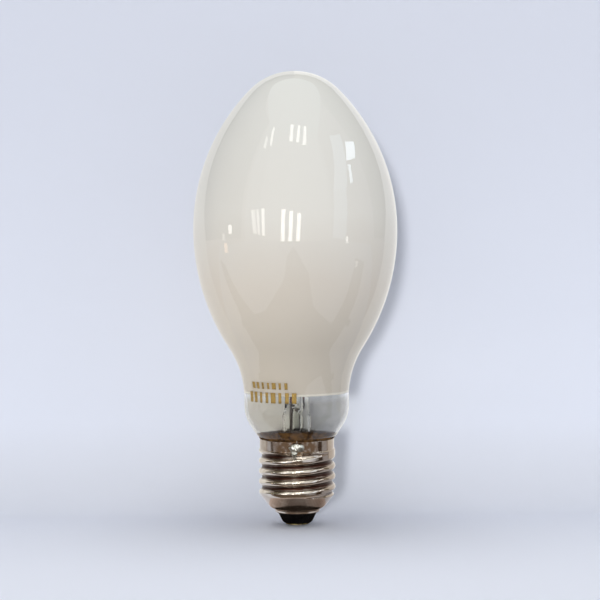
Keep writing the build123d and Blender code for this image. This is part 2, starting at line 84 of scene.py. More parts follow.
class Sheet:
    """A node tree with short ways to add nodes and join them."""

    def __init__(self, tree: bpy.types.NodeTree) -> None:
        """Work on an empty or existing tree."""
        self.tree = tree

    def add(self, kind: str, inputs: dict | None = None, **settings: object) -> bpy.types.Node:
        """Add a node.

        Args:
            kind: Blender's name of the node type.
            inputs: value, socket, node or Number for each input, by name or place.
            settings: attributes of the node, set before its inputs.

        Returns:
            The new node.
        """
        node = self.tree.nodes.new(kind)
        for key, value in settings.items():
            setattr(node, key, value)
        for key, value in (inputs or {}).items():
            if isinstance(value, Number):
                value = value.value
            if isinstance(value, bpy.types.Node):
                value = value.outputs[0]
            if isinstance(value, Socket):
                self.tree.links.new(value, node.inputs[key])
            else:
                node.inputs[key].default_value = value
        return node

    def number(self, value: "Socket | float") -> Number:
        """Wrap a socket or plain number for arithmetic."""
        return Number(self, value)

    def place(self) -> tuple[Socket, Number, Number, Number]:
        """Object coordinates, whole and as three numbers."""
        whole = self.add("ShaderNodeTexCoord").outputs["Object"]
        return whole, *map(self.number, self.add("ShaderNodeSeparateXYZ", {0: whole}).outputs)

    def ramp(self, by: object, stops: Sequence[tuple[float, Colour]]) -> Socket:
        """Colour ramp.

        Args:
            by: what drives the ramp, from nought to one.
            stops: position and colour of each stop, in order.

        Returns:
            The colour socket.
        """
        node = self.add("ShaderNodeValToRGB", {0: by})
        bar = node.color_ramp
        while len(bar.elements) < len(stops):
            bar.elements.new(0.5)
        for element, (where, colour) in zip(bar.elements, stops):
            element.position = where
            element.color = (*colour, 1.0)
        return node.outputs[0]

    def span(self, by: object, low: float, high: float, first: float = 0.0, last: float = 1.0) -> Number:
        """Map low..high of a value smoothly to first..last."""
        inputs = {"Value": by, "From Min": low, "From Max": high, "To Min": first, "To Max": last}
        return self.number(self.add("ShaderNodeMapRange", inputs, interpolation_type="SMOOTHSTEP").outputs[0])

    def grain(self, scale: float, detail: float = 3.0, stretch: Sequence[float] = (1, 1, 1)) -> Number:
        """Noise on object coordinates.

        Args:
            scale: features to the metre.
            detail: octaves.
            stretch: factor on each axis.

        Returns:
            The noise, about 0.5.
        """
        where = self.add("ShaderNodeMapping", {"Vector": self.place()[0], "Scale": tuple(stretch)})
        node = self.add("ShaderNodeTexNoise", {"Vector": where, "Scale": scale, "Detail": detail})
        return self.number(node.outputs[0])

    def blend(self, share: object, first: object, second: object) -> Socket:
        """Mix two colours.

        Args:
            share: share of the second, as a number or socket.
            first: colour or socket where the share is nought.
            second: colour or socket where it is one.

        Returns:
            The colour socket.
        """
        pairs = {0: share, 6: first, 7: second}
        full = {key: (*value, 1.0) if isinstance(value, tuple) else value for key, value in pairs.items()}
        return self.add("ShaderNodeMix", full, data_type="RGBA").outputs[2]

    def relief(self, height: Number, strength: float, depth: float) -> Socket:
        """Bump from a height, with its depth in metres."""
        inputs = {"Height": height, "Strength": strength, "Distance": depth}
        return self.add("ShaderNodeBump", inputs).outputs[0]

    def principled(self, colour: Socket, rough: object, normal: Socket, **more: object) -> Socket:
        """Principled shader.

        Args:
            colour: base colour.
            rough: roughness.
            normal: normal, as a relief gives it.
            more: other inputs by name, with _ for a space.

        Returns:
            The shader.
        """
        named = {key.replace("_", " "): value for key, value in more.items()}
        inputs = {"Base Color": colour, "Roughness": rough, "Normal": normal, **named}
        return self.add("ShaderNodeBsdfPrincipled", inputs).outputs[0]


# ---- Finishes


@dataclass(frozen=True)
class Finish:
    """A surface finish that makes its own material."""

    name: str

    def surface(self, sheet: Sheet) -> Socket:
        """Build the nodes of the finish.

        Args:
            sheet: the material's empty tree.

        Returns:
            The shader.
        """
        raise NotImplementedError

    def material(self) -> bpy.types.Material:
        """Find the finish's material or make it.

        Returns:
            The material, which is made once.
        """
        name = self.name + "_finish"
        if name not in bpy.data.materials:
            made = bpy.data.materials.new(name)
            made.use_nodes = True
            made.node_tree.nodes.clear()
            sheet = Sheet(made.node_tree)
            sheet.add("ShaderNodeOutputMaterial", {"Surface": self.surface(sheet)})
        return bpy.data.materials[name]


@dataclass(frozen=True)
class ClearGlass(Finish):
    """Blown or pressed glass that lets lamps and diffuse light pass.

    Args:
        tint: colour of the glass.
        shade_tint: colour that tints the glass low on the wall, on the side away from +X, as painted shade in
            the clear neck.
        shade_tint_far: its darker colour towards +X, more painted shade on that side.
        shade_tint_top: height where the tint ends, in metres.
        shade_tint_fade: height over which it fades out, in metres.
        ripple: depth of the waves in the wall, in metres.
        waves: waves to the metre.
        rough: roughness of the wall.
        bend: refractive index.
    """

    tint: Colour = (0.99, 1.0, 0.985)
    shade_tint: Colour = (0.835, 0.795, 0.70)
    shade_tint_far: Colour = (0.70, 0.69, 0.655)
    shade_tint_top: float = 0.0
    shade_tint_fade: float = 0.003
    ripple: float = 0.00004
    waves: float = 90.0
    rough: float = 0.015
    bend: float = 1.5

    def surface(self, sheet: Sheet) -> Socket:
        """Refracting glass, mixed with a plain opening for lamps.

        Args:
            sheet: the material's empty tree.

        Returns:
            The shader.
        """
        _, x, _, height = sheet.place()
        # Tint low on the wall, darker towards +X: painted shade of what is seen through the clear neck.
        shade_tint = sheet.blend(sheet.span(x, -0.008, 0.009), self.shade_tint, self.shade_tint_far)
        clear = sheet.span(height, self.shade_tint_top - self.shade_tint_fade, self.shade_tint_top)
        bump = sheet.relief(sheet.grain(self.waves, 1.0, (1, 1, 0.35)), 0.25, self.ripple)
        tint = sheet.blend(clear, shade_tint, self.tint)
        glass = sheet.principled(tint, self.rough, bump, IOR=self.bend, Transmission_Weight=1.0)
        path = sheet.add("ShaderNodeLightPath").outputs
        lets = sheet.number(path["Is Shadow Ray"]).most(path["Is Diffuse Ray"])
        opening = sheet.add("ShaderNodeBsdfTransparent", {"Color": (0.97, 0.97, 0.96, 1.0)})
        return sheet.add("ShaderNodeMixShader", {0: lets, 1: glass, 2: opening}).outputs[0]


@dataclass(frozen=True)
class PowderCoat(Finish):
    """White powder on the inside of the bulb, darker and warmer towards the neck as painted shade of the
    lower bulb.

    Args:
        crown: colour at the crown.
        belly: colour at the belly.
        flank: colour below the belly, darker as painted shade.
        neck: colour above the neck, darkest, as painted shade.
        edge: colour of the thick bead along the lower edge.
        specks: colour of the coarser grains.
        low: height of the lower edge, in metres.
        high: height of the crown, in metres.
    """

    crown: Colour = (0.71, 0.708, 0.685)
    belly: Colour = (0.728, 0.70, 0.648)
    flank: Colour = (0.615, 0.555, 0.481)
    neck: Colour = (0.512, 0.456, 0.382)
    edge: Colour = (0.74, 0.69, 0.59)
    specks: Colour = (0.9, 0.89, 0.86)
    low: float = 0.046
    high: float = 0.156

    def surface(self, sheet: Sheet) -> Socket:
        """Matt powder whose colour follows the height, darker lower down as painted shade.

        Args:
            sheet: the material's empty tree.

        Returns:
            The shader.
        """
        height = sheet.place()[3]
        cloud, wander, fine = sheet.grain(28, 2.0), sheet.grain(900, 2.0), sheet.grain(2600, 4.0)
        share = (height + (cloud - 0.5) * 0.012 - self.low) / (self.high - self.low)
        # Darker and warmer towards the neck: painted shade of the lower bulb.
        shades = (self.neck, self.neck, self.flank, self.belly, self.crown)
        body = sheet.ramp(share, list(zip((0.0, 0.16, 0.34, 0.56, 0.95), shades)))
        bead = sheet.span(height + (wander - 0.5) * 0.0006, self.low + 0.0005, self.low + 0.0009)
        body = sheet.blend((fine - 0.5) * 0.12 + 0.03, body, self.specks)
        colour = sheet.blend(bead, self.edge, body)
        return sheet.principled(colour, 0.92, sheet.relief(fine, 0.25, 0.00004), Specular_IOR_Level=0.15)


@dataclass(frozen=True)
class RolledNickel(Finish):
    """Nickel plating on rolled sheet, with rubbed crests; dark in the grooves, under the collar and on the
    cone from dirt and painted shade, and darker towards +X as painted shade. Sizes in metres.

    Args:
        root: radius of the groove's bottom.
        crest: radius of the thread's crest.
        collar_foot: height where the dirt and painted shade under the collar begin, and where they are full.
        thread_foot: height where the dirt and painted shade on the cone are full, and where they begin.
        collar_dull: height where the collar's tarnished look begins, and where it is full.
        shaded_side: distance towards +X where the painted shade on that side begins, and where it is full.
        joint: middle of the stain that flux and heat left.
        stain: reach of that stain, and of its full colour.
        plate: colour of the plating.
        worn: colour where it is rubbed bright.
        grime_and_shade: colour of the dirt in hollows, which also paints their shade.
        burnt: colour of the stain.
        tarnish_and_shade: colour of the tarnished collar, and of the painted shade towards +X.
    """

    root: float = 0.0121
    crest: float = 0.0132
    collar_foot: Point = (0.0262, 0.0268)
    thread_foot: Point = (0.0112, 0.0106)
    collar_dull: Point = (0.0255, 0.0268)
    shaded_side: Point = (0.0038, 0.0078)
    joint: tuple[float, float, float] = (0.0, -0.01285, 0.0282)
    stain: Point = (0.0115, 0.0045)
    plate: Colour = (0.60, 0.53, 0.46)
    worn: Colour = (0.74, 0.69, 0.62)
    grime_and_shade: Colour = (0.045, 0.019, 0.013)
    burnt: Colour = (0.17, 0.105, 0.06)
    tarnish_and_shade: Colour = (0.26, 0.205, 0.165)

    def surface(self, sheet: Sheet) -> Socket:
        """Tarnished metal with dirt and painted shade by depth and at the ends of the thread, painted shade
        towards +X, turning marks and small dents.

        Args:
            sheet: the material's empty tree.

        Returns:
            The shader.
        """
        whole, x, y, height = sheet.place()
        radius = (x * x + y * y).root()
        patches, marks = sheet.grain(260, 4.0), sheet.grain(500, 4.0, (1, 1, 14))
        stray = patches - 0.5
        # Depth into the grooves, and the ends under the collar and on the cone, mark where dirt and painted
        # shade darken the metal.
        depth = sheet.span(radius + stray * 0.0005, self.root, self.root + 0.0006)
        ends = sheet.span(height, *self.collar_foot).most(sheet.span(height, *self.thread_foot))
        plate = sheet.blend(sheet.span(patches, 0.42, 0.66), self.plate, self.worn)
        rubbed = sheet.span(radius, self.crest - 0.00035, self.crest - 0.00005, 0.0, 0.5)
        plate = sheet.blend(rubbed, plate, self.worn)
        # Darker towards +X: painted shade on that side, in the tarnished colour.
        side_shade = sheet.span(x + stray * 0.003, *self.shaded_side, 0.0, 0.85)
        plate = sheet.blend(side_shade.most(sheet.span(height, *self.collar_dull, 0.0, 0.6)), plate, self.tarnish_and_shade)
        reach = sheet.add("ShaderNodeVectorMath", {0: whole, 1: self.joint}, operation="DISTANCE")
        burn = sheet.span(sheet.number(reach.outputs["Value"]) + stray * 0.012, *self.stain)
        specks = sheet.span(sheet.grain(750, 3.0), 0.3, 0.56, 0.25, 1.0)
        plate = sheet.blend(burn * sheet.span(height, 0.0245, 0.0262) * specks, plate, self.burnt)
        groove = depth.most(ends)
        rough = sheet.span(groove, 0.0, 1.0, 0.34, 0.11) + (marks - 0.5) * 0.08
        lumps = sheet.relief(sheet.grain(420, 2.0), 0.3, 0.00004)
        fine = {"Height": marks, "Strength": 0.2, "Distance": 0.00002, "Normal": lumps}
        bump = sheet.add("ShaderNodeBump", fine).outputs[0]
        # The hollows take the dirt colour, which also paints their shade.
        return sheet.principled(sheet.blend(groove, self.grime_and_shade, plate), rough, bump, Metallic=1.0)


@dataclass(frozen=True)
class BareMetal(Finish):
    """Metal of one kind with mottling, marks along it and its own gloss.

    Args:
        colour: main colour.
        shade: colour of the darker patches.
        rough: mean roughness.
        scale: patches to the metre.
        depth: depth of the relief, in metres.
        metallic: share of metal.
    """

    colour: Colour
    shade: Colour
    rough: float = 0.35
    scale: float = 900.0
    depth: float = 0.00003
    metallic: float = 1.0

    def surface(self, sheet: Sheet) -> Socket:
        """Mottled metal with relief.

        Args:
            sheet: the material's empty tree.

        Returns:
            The shader.
        """
        spots, streaks = sheet.grain(self.scale, 4.0), sheet.grain(self.scale * 2, 3.0, (1, 1, 0.1))
        colour = sheet.blend(sheet.span(spots, 0.4, 0.68), self.colour, self.shade)
        rough = sheet.span(streaks, 0.3, 0.7, self.rough * 0.75, self.rough * 1.3)
        bump = sheet.relief(spots + streaks * 0.4, 0.5, self.depth)
        return sheet.principled(colour, rough, bump, Metallic=self.metallic)


@dataclass(frozen=True)
class LeadWire(Finish):
    """Stiff lead, dark from sealing, and copper red where it runs through the pinch.

    Args:
        low: lower end of the pinch, in metres.
        high: upper end of the pinch, in metres.
        fade: length over which the colour changes, in metres.
        steel: colour outside the pinch.
        red: colour in it.
        scuffed: colour of the marks from drawing.
    """

    low: float
    high: float
    fade: float = 0.0006
    steel: Colour = (0.055, 0.04, 0.036)
    red: Colour = (0.14, 0.035, 0.025)
    scuffed: Colour = (0.05, 0.04, 0.04)

    def surface(self, sheet: Sheet) -> Socket:
        """Drawn wire whose colour changes in the pinch.

        Args:
            sheet: the material's empty tree.

        Returns:
            The shader.
        """
        height = sheet.place()[3]
        above = sheet.span(height, self.low, self.low + self.fade)
        below = sheet.span(height, self.high + self.fade, self.high)
        drawn = sheet.grain(3000, 3.0, (1, 1, 0.06))
        colour = sheet.blend(above * below, self.steel, self.red)
        colour = sheet.blend(sheet.span(drawn, 0.35, 0.75, 0.0, 0.6), colour, self.scuffed)
        rough = sheet.span(drawn, 0.3, 0.7, 0.3, 0.5)
        return sheet.principled(colour, rough, sheet.relief(drawn, 0.4, 0.00002), Metallic=0.5)


@dataclass(frozen=True)
class Earthy(Finish):
    """Rough baked cement or a sintered, fused or moulded body.

    Args:
        dark: colour of the hollows.
        light: colour of the heights.
        rough: roughness.
        scale: lumps to the metre.
        depth: depth of the relief, in metres.
        coat: share of a clear gloss on top.
        shine: strength of the body's own reflection.
    """

    dark: Colour
    light: Colour
    rough: float = 0.85
    scale: float = 700.0
    depth: float = 0.0002
    coat: float = 0.0
    shine: float = 0.5

    def surface(self, sheet: Sheet) -> Socket:
        """Grainy body with relief and, where it has one, a gloss.

        Args:
            sheet: the material's empty tree.

        Returns:
            The shader.
        """
        lumps, grit = sheet.grain(self.scale, 5.0), sheet.grain(self.scale * 5, 2.0)
        colour = sheet.blend(sheet.span(lumps * 0.7 + grit * 0.3, 0.36, 0.64), self.dark, self.light)
        rough = sheet.span(grit, 0.3, 0.7, self.rough * 0.85, min(self.rough * 1.1, 1.0))
        bump = sheet.relief(lumps + grit * 0.4, 0.6, self.depth)
        gloss = {"Coat_Weight": self.coat, "Coat_Roughness": 0.06}
        return sheet.principled(colour, rough, bump, Specular_IOR_Level=self.shine, **gloss)


@dataclass(frozen=True)
class Paper(Finish):
    """The plain pale floor and backdrop, seen from its front alone.

    Args:
        low: colour at the floor.
        high: colour at the top of the picture.
        top: height of that colour, in metres.
        bend_dim: how much darker the paper is in its bend, which catches both lights.
    """

    low: Colour = (0.748, 0.779, 0.858)
    high: Colour = (0.669, 0.695, 0.776)
    top: float = 0.185
    bend_dim: float = 0.2

    def surface(self, sheet: Sheet) -> Socket:
        """Matt paper, clear to the camera from behind.

        Args:
            sheet: the material's empty tree.

        Returns:
            The shader.
        """
        colour = sheet.blend(sheet.span(sheet.place()[3], 0.0, self.top), self.low, self.high)
        faces = sheet.add("ShaderNodeNewGeometry").outputs
        rise = sheet.number(sheet.add("ShaderNodeSeparateXYZ", {0: faces["Normal"]}).outputs[2])
        level = (rise * rise * -1.0 + 1.0).most(0.0).root()
        colour = sheet.blend((level + rise - 1.0) * self.bend_dim, colour, (0.0, 0.0, 0.0))
        paper = sheet.add("ShaderNodeBsdfDiffuse", {"Color": colour})
        seen = sheet.number(sheet.add("ShaderNodeLightPath").outputs["Is Camera Ray"])
        clear = sheet.add("ShaderNodeBsdfTransparent")
        mix = {0: seen * faces["Backfacing"], 1: paper, 2: clear}
        return sheet.add("ShaderNodeMixShader", mix).outputs[0]


@dataclass(frozen=True)
class Card(Finish):
    """A studio card's even glow, in one colour and strength."""

    colour: Colour
    strength: float

    def surface(self, sheet: Sheet) -> Socket:
        """Even glow of the card's colour."""
        inputs = {"Color": (*self.colour, 1.0), "Strength": self.strength}
        return sheet.add("ShaderNodeEmission", inputs).outputs[0]


# ---- Shapes


def along(start: Point, direction: Point, distance: float) -> Point:
    """Point at a distance from start."""
    size = math.hypot(*direction)
    return start[0] + direction[0] * distance / size, start[1] + direction[1] * distance / size


def way(start: Point, end: Point) -> Point:
    """Step from start to end."""
    return end[0] - start[0], end[1] - start[1]


def arc(centre: Point, start: Point, end: Point, steps: int) -> list[Point]:
    """Points on the short arc about a centre.

    Args:
        centre: middle of the arc, as radius and height.
        start: first point.
        end: last point.
        steps: number of chords.

    Returns:
        The points, without the last.
    """
    first = math.atan2(start[1] - centre[1], start[0] - centre[0])
    turn = math.atan2(end[1] - centre[1], end[0] - centre[0]) - first
    turn = (turn + math.pi) % math.tau - math.pi
    reach = math.dist(centre, start)
    angles = [first + turn * i / steps for i in range(steps)]
    return [(centre[0] + reach * math.cos(a), centre[1] + reach * math.sin(a)) for a in angles]


def line(start: Point, end: Point, steps: int) -> list[Point]:
    """Points on a straight line, without the last."""
    step = way(start, end)
    return [(start[0] + step[0] * i / steps, start[1] + step[1] * i / steps) for i in range(steps)]


def rounded(corners: Sequence[Point], radii: Sequence[float], steps: int = 8) -> list[Point]:
    """Outline with rounded corners.

    Args:
        corners: the outline's corners, in order.
        radii: fillet radius at each corner but the first and last.
        steps: chords in each fillet.

    Returns:
        The points, with both ends.
    """
    points = [corners[0]]
    for before, corner, after, radius in zip(corners, corners[1:], corners[2:], radii):
        back, ahead = way(corner, before), way(corner, after)
        lean = (back[0] * ahead[0] + back[1] * ahead[1]) / (math.hypot(*back) * math.hypot(*ahead))
        half = math.acos(lean) / 2
        start = along(corner, back, radius / math.tan(half))
        end = along(corner, ahead, radius / math.tan(half))
        middle = ((start[0] + end[0]) / 2, (start[1] + end[1]) / 2)
        centre = along(corner, way(corner, middle), radius / math.sin(half))
        points += arc(centre, start, end, steps) + [end]
    return points + [corners[-1]]


def spaced(points: Sequence[Point], gap: float) -> list[Point]:
    """Fill an outline up.

    Args:
        points: the outline.
        gap: longest chord.

    Returns:
        The outline with chords no longer than the gap.
    """
    filled: list[Point] = []
    for start, end in zip(points, points[1:]):
        filled += line(start, end, max(1, math.ceil(math.dist(start, end) / gap)))
    return filled + [points[-1]]


def mesh_object(name: str, corners: np.ndarray, faces: Iterable[Sequence[int]]) -> bpy.types.Object:
    """A smooth mesh object at the origin.

    Args:
        name: name of the piece.
        corners: places in millimetres.
        faces: corner numbers of each face.

    Returns:
        The object, in the scene.
    """
    mesh = bpy.data.meshes.new(name)
    mesh.from_pydata((corners * MM).tolist(), [], list(faces))
    mesh.shade_smooth()
    piece = bpy.data.objects.new(name, mesh)
    bpy.context.scene.collection.objects.link(piece)
    return piece


def woven(rows: int, columns: int, loop: bool = False) -> list[Face]:
    """Faces of a grid that closes round its columns.

    Args:
        rows: rows of the grid.
        columns: corners in each row.
        loop: whether it closes round its rows too.

    Returns:
        The corner numbers of each face.
    """
    pairs = [(i * columns, (i + 1) % rows * columns) for i in range(rows if loop else rows - 1)]
    turns = [(j, (j + 1) % columns) for j in range(columns)]
    return [(low + j, high + j, high + k, low + k) for low, high in pairs for j, k in turns]


def capped(rows: int, columns: int) -> list[Face]:
    """Faces of a grid with a fan on its first and its last row.

    Args:
        rows: rows of the grid.
        columns: corners in each row.

    Returns:
        The corner numbers of each face, where the middles of the two fans come after the grid.
    """
    faces = woven(rows, columns)
    last = (rows - 1) * columns
    for j in range(columns):
        k = (j + 1) % columns
        faces += [(rows * columns, j, k), (rows * columns + 1, last + k, last + j)]
    return faces


def ring_angles(columns: int) -> np.ndarray:
    """Angles of the columns round the axis."""
    return np.arange(columns) * math.tau / columns


def round_axis(radius: np.ndarray, angle: np.ndarray, height: np.ndarray) -> np.ndarray:
    """Places from their radius, angle and height, one to a row."""
    return np.stack([radius * np.cos(angle), radius * np.sin(angle), height + 0 * angle], -1).reshape(-1, 3)


def turned(name: str, outline: Sequence[Point], columns: int) -> bpy.types.Object:
    """A body turned about the lamp's axis.

    Args:
        name: name of the piece.
        outline: radius and height, down the outside and up the inside; its ends may lie on the axis.
        columns: points round the axis.

    Returns:
        The object, closed at its poles or along its outline.
    """
    poles = outline[0][0] < 1e-9
    rings = outline[1:-1] if poles else outline
    radius, height = (np.array(c)[:, None] for c in zip(*rings))
    corners = round_axis(radius, ring_angles(columns), height)
    if not poles:
        return mesh_object(name, corners, woven(len(rings), columns, loop=True))
    tips = [(0, 0, outline[0][1]), (0, 0, outline[-1][1])]
    return mesh_object(name, np.vstack([corners, tips]), capped(len(rings), columns))


def wavy(place: Sequence[float], scale: float, seed: float) -> float:
    """Smooth noise between about -1 and 1 at a place."""
    return noise.noise(Vector(place) * scale + Vector((seed, -seed, seed * 0.5)))


def dress(piece: bpy.types.Object, finish: Finish) -> None:
    """Give a piece one finish in all its slots.

    Args:
        piece: the piece.
        finish: its finish.
    """
    if not piece.data.materials:
        piece.data.materials.append(finish.material())
    for slot in piece.material_slots:
        slot.material = finish.material()


def settle(piece: bpy.types.Object, finish: Finish, slot: str, *nodes: str) -> None:
    """Finish a piece, let it ride on the lamp and name what it stands for.

    Args:
        piece: the finished mesh.
        finish: its finish.
        slot: the record's material slot; not used.
        nodes: CAD nodes that it replaces.
    """
    dress(piece, finish)
    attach(piece, "root")
    if nodes:
        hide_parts(*nodes)
    LOG.info("%s: %d faces, stands for %s", piece.name, len(piece.data.polygons), nodes or "itself")


def carry_over(finish: Finish, *nodes: str) -> None:
    """Give CAD nodes whose shape is right a finish.

    Args:
        finish: the finish.
        nodes: names of the nodes.
    """
    for node in nodes:
        dress(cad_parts[node], finish)
        LOG.info("%s: carried over as %s", node, finish.name)


class Recipe:
    """A Geometry Nodes tree with named inputs, used on one object and then applied."""

    def __init__(self, name: str, sizes: dict[str, float]) -> None:
        """Make the tree.

        Args:
            name: name of the tree.
            sizes: name and value of each number input.
        """
        self.sizes = sizes
        self.group = bpy.data.node_groups.new(name, "GeometryNodeTree")
        face = self.group.interface
        face.new_socket("Geometry", in_out="INPUT", socket_type="NodeSocketGeometry")
        self.keys = {
            key: face.new_socket(key, in_out="INPUT", socket_type="NodeSocketFloat").identifier
            for key in sizes
        }
        skin = face.new_socket("Finish", in_out="INPUT", socket_type="NodeSocketMaterial")
        self.skin = skin.identifier
        face.new_socket("Geometry", in_out="OUTPUT", socket_type="NodeSocketGeometry")
        self.sheet = Sheet(self.group)
        self.given = self.sheet.add("NodeGroupInput")

    def input(self, name: str) -> Number:
        """A named input as a number."""
        return self.sheet.number(self.given.outputs[name])

    def place(self) -> tuple[Number, Number, Number]:
        """Where each point is."""
        split = self.sheet.add("ShaderNodeSeparateXYZ", {0: self.sheet.add("GeometryNodeInputPosition")})
        return tuple(self.sheet.number(s) for s in split.outputs)

    def moved(self, shape: object, x: Number, y: Number, z: Number) -> Socket:
        """The shape with its points moved to x, y, z."""
        spot = self.sheet.add("ShaderNodeCombineXYZ", {0: x, 1: y, 2: z})
        return self.sheet.add("GeometryNodeSetPosition", {"Geometry": shape, "Position": spot}).outputs[0]

    def finish_with(self, shape: object) -> None:
        """End the tree in Realize Instances and Set Material.

        Args:
            shape: socket of the finished shape.
        """
        real = self.sheet.add("GeometryNodeRealizeInstances", {0: shape})
        smooth = self.sheet.add("GeometryNodeSetShadeSmooth", {0: real})
        inputs = {"Geometry": smooth, "Material": self.given.outputs["Finish"]}
        self.sheet.add("NodeGroupOutput", {0: self.sheet.add("GeometryNodeSetMaterial", inputs)})

    def apply(self, piece: bpy.types.Object, finish: Finish) -> None:
        """Run the tree on a piece and keep the result as its plain mesh.

        Args:
            piece: the piece.
            finish: what the tree's Finish input gets.
        """
        step = piece.modifiers.new("recipe", "NODES")
        step.node_group = self.group
        for key, socket in self.keys.items():
            step[socket] = float(self.sizes[key])
        step[self.skin] = finish.material()
        bpy.context.view_layer.update()
        seen = piece.evaluated_get(bpy.context.evaluated_depsgraph_get())
        mesh = bpy.data.meshes.new_from_object(seen)
        piece.modifiers.remove(step)
        piece.data = mesh


# ---- Bulb


@dataclass(frozen=True)
class BarRow:
    """A row of plain printed bars round the neck.

    Args:
        name: name of the piece.
        count: number of bars.
        spacing: step from bar to bar, in millimetres.
        width: width of the widest bar, in millimetres.
        height: height of the bars, in millimetres.
        level: height of their middle on the lamp, in millimetres.
        start: angle of the first bar, in degrees.
    """

    name: str
    count: int
    spacing: float
    width: float
    height: float
    level: float
    start: float


@dataclass
class Bulb:
    """Glass bulb, its coating and the plain printed bars. Sizes in millimetres."""

    wall: float = 0.9
    crown_radius: float = 21.4
    belly_radius: float = 34.98
    belly_height: float = 101.69
    belly_rise: float = 54.31
    lower_radius: float = 74.3
    blend_radius: float = 32.5
    blend_height: float = 43.88
    neck_radius: float = 18.0
    shoulder_radius: float = 12.0
    shoulder_height: float = 41.23
    shoulder_slope: float = 33.0
    seat_height: float = 30.59
    cone_foot: float = 13.4
    seat_corner: float = 1.4
    seat_fillet: float = 1.0
    seal_radius: float = 10.8
    seal_height: float = 15.99
    columns: int = 192
    coat: float = 0.12
    coat_bite: float = 0.06
    coat_edge: float = 46.0
    edge_waves: float = 0.16
    edge_reach: float = 14.0
    ink: float = 0.02
    rows: tuple[BarRow, ...] = (
        BarRow("printed_bars_low", 8, 2.45, 1.8, 3.6, 45.5, -147.0),
        BarRow("printed_bars_high", 7, 2.1, 1.4, 2.2, 49.6, -141.0),
    )

    def body(self, inset: float) -> list[Point]:
        """Outline from the crown to the straight neck.

        Args:
            inset: how far it lies inside the glass's outer face.

        Returns:
            The points, without the last.
        """
        rise, crown = self.belly_rise, self.crown_radius
        flank = (self.belly_radius**2 + rise**2 - 2 * rise * crown) / (2 * (self.belly_radius - crown))
        top = self.belly_height + rise
        crown_centre = (0.0, top - crown)
        flank_centre = (self.belly_radius - flank, self.belly_height)
        lower_centre = (self.belly_radius - self.lower_radius, self.belly_height)
        blend_centre = (self.neck_radius + self.blend_radius, self.blend_height)
        crown_end = along(flank_centre, way(flank_centre, crown_centre), flank - inset)
        belly = (self.belly_radius - inset, self.belly_height)
        lower_end = along(lower_centre, way(lower_centre, blend_centre), self.lower_radius - inset)
        neck = (self.neck_radius - inset, self.blend_height)
        return (
            arc(crown_centre, (0.0, top - inset), crown_end, 28)
            + arc(flank_centre, crown_end, belly, 24)
            + arc(lower_centre, belly, lower_end, 24)
            + arc(blend_centre, lower_end, neck, 16)
        )

    def neck(self, inset: float) -> list[Point]:
        """Outline from the straight neck to the rim inside the cap.

        Args:
            inset: how far it lies inside the glass's outer face.

        Returns:
            The points, with the last.
        """
        slope = math.radians(self.shoulder_slope)
        normal = (math.cos(slope), -math.sin(slope))
        side = self.neck_radius - inset
        shoulder_centre = (self.neck_radius - self.shoulder_radius, self.shoulder_height)
        shoulder_end = along(shoulder_centre, normal, self.shoulder_radius - inset)
        run = self.seat_corner * math.tan(math.radians(90 - self.shoulder_slope) / 2)
        corner_centre = (self.cone_foot - run, self.seat_height + self.seat_corner)
        corner_start = along(corner_centre, normal, self.seat_corner - inset)
        corner_end = (corner_centre[0], self.seat_height + inset)
        fillet_centre = (self.seal_radius + self.seat_fillet, self.seat_height - self.seat_fillet)
        fillet_start = (fillet_centre[0], self.seat_height + inset)
        fillet_end = (self.seal_radius - inset, fillet_centre[1])
        rim = (self.seal_radius - inset, self.seal_height)
        return (
            line((side, self.blend_height), (side, self.shoulder_height), 3)
            + arc(shoulder_centre, (side, self.shoulder_height), shoulder_end, 12)
            + line(shoulder_end, corner_start, 8)
            + arc(corner_centre, corner_start, corner_end, 8)
            + line(corner_end, fillet_start, 2)
            + arc(fillet_centre, fillet_start, fillet_end, 8)
            + line(fillet_end, rim, 8)
            + [rim]
        )

    def glass(self) -> bpy.types.Object:
        """The closed glass wall, with its rim inside the cap."""
        inside = self.body(self.wall) + self.neck(self.wall)
        return turned("bulb_glass", self.body(0) + self.neck(0) + inside[::-1], self.columns)

    def coating(self) -> bpy.types.Object:
        """The powder layer, whose lower edge wanders a little.

        Returns:
            The layer as a closed mesh.
        """
        angle = ring_angles(self.columns)
        waves = [wavy((math.cos(a), math.sin(a), 0), 3.2, 5.0) for a in angle]
        edge = self.coat_edge + self.edge_waves * np.array(waves)
        start = self.coat_edge + self.edge_reach
        faces, tips = [], []
        for inset in (self.wall - self.coat_bite, self.wall - self.coat_bite + self.coat):
            tip, *points = [*self.body(inset), (self.neck_radius - inset, self.blend_height)]
            radius, height = (np.array(c) for c in zip(*points))
            drop = np.clip((start - height) / (start - self.blend_height), 0, None)[:, None]
            level = np.where(height[:, None] < start, start - drop * (start - edge), height[:, None])
            reach = np.interp(level, height[::-1], radius[::-1])
            faces.append((reach, level))
            tips.append((0, 0, tip[1]))
        reach, level = (np.concatenate([out, into[::-1]]) for out, into in zip(*faces))
        corners = np.vstack([round_axis(reach, angle, level), tips])
        return mesh_object("bulb_coating", corners, capped(len(reach), self.columns))

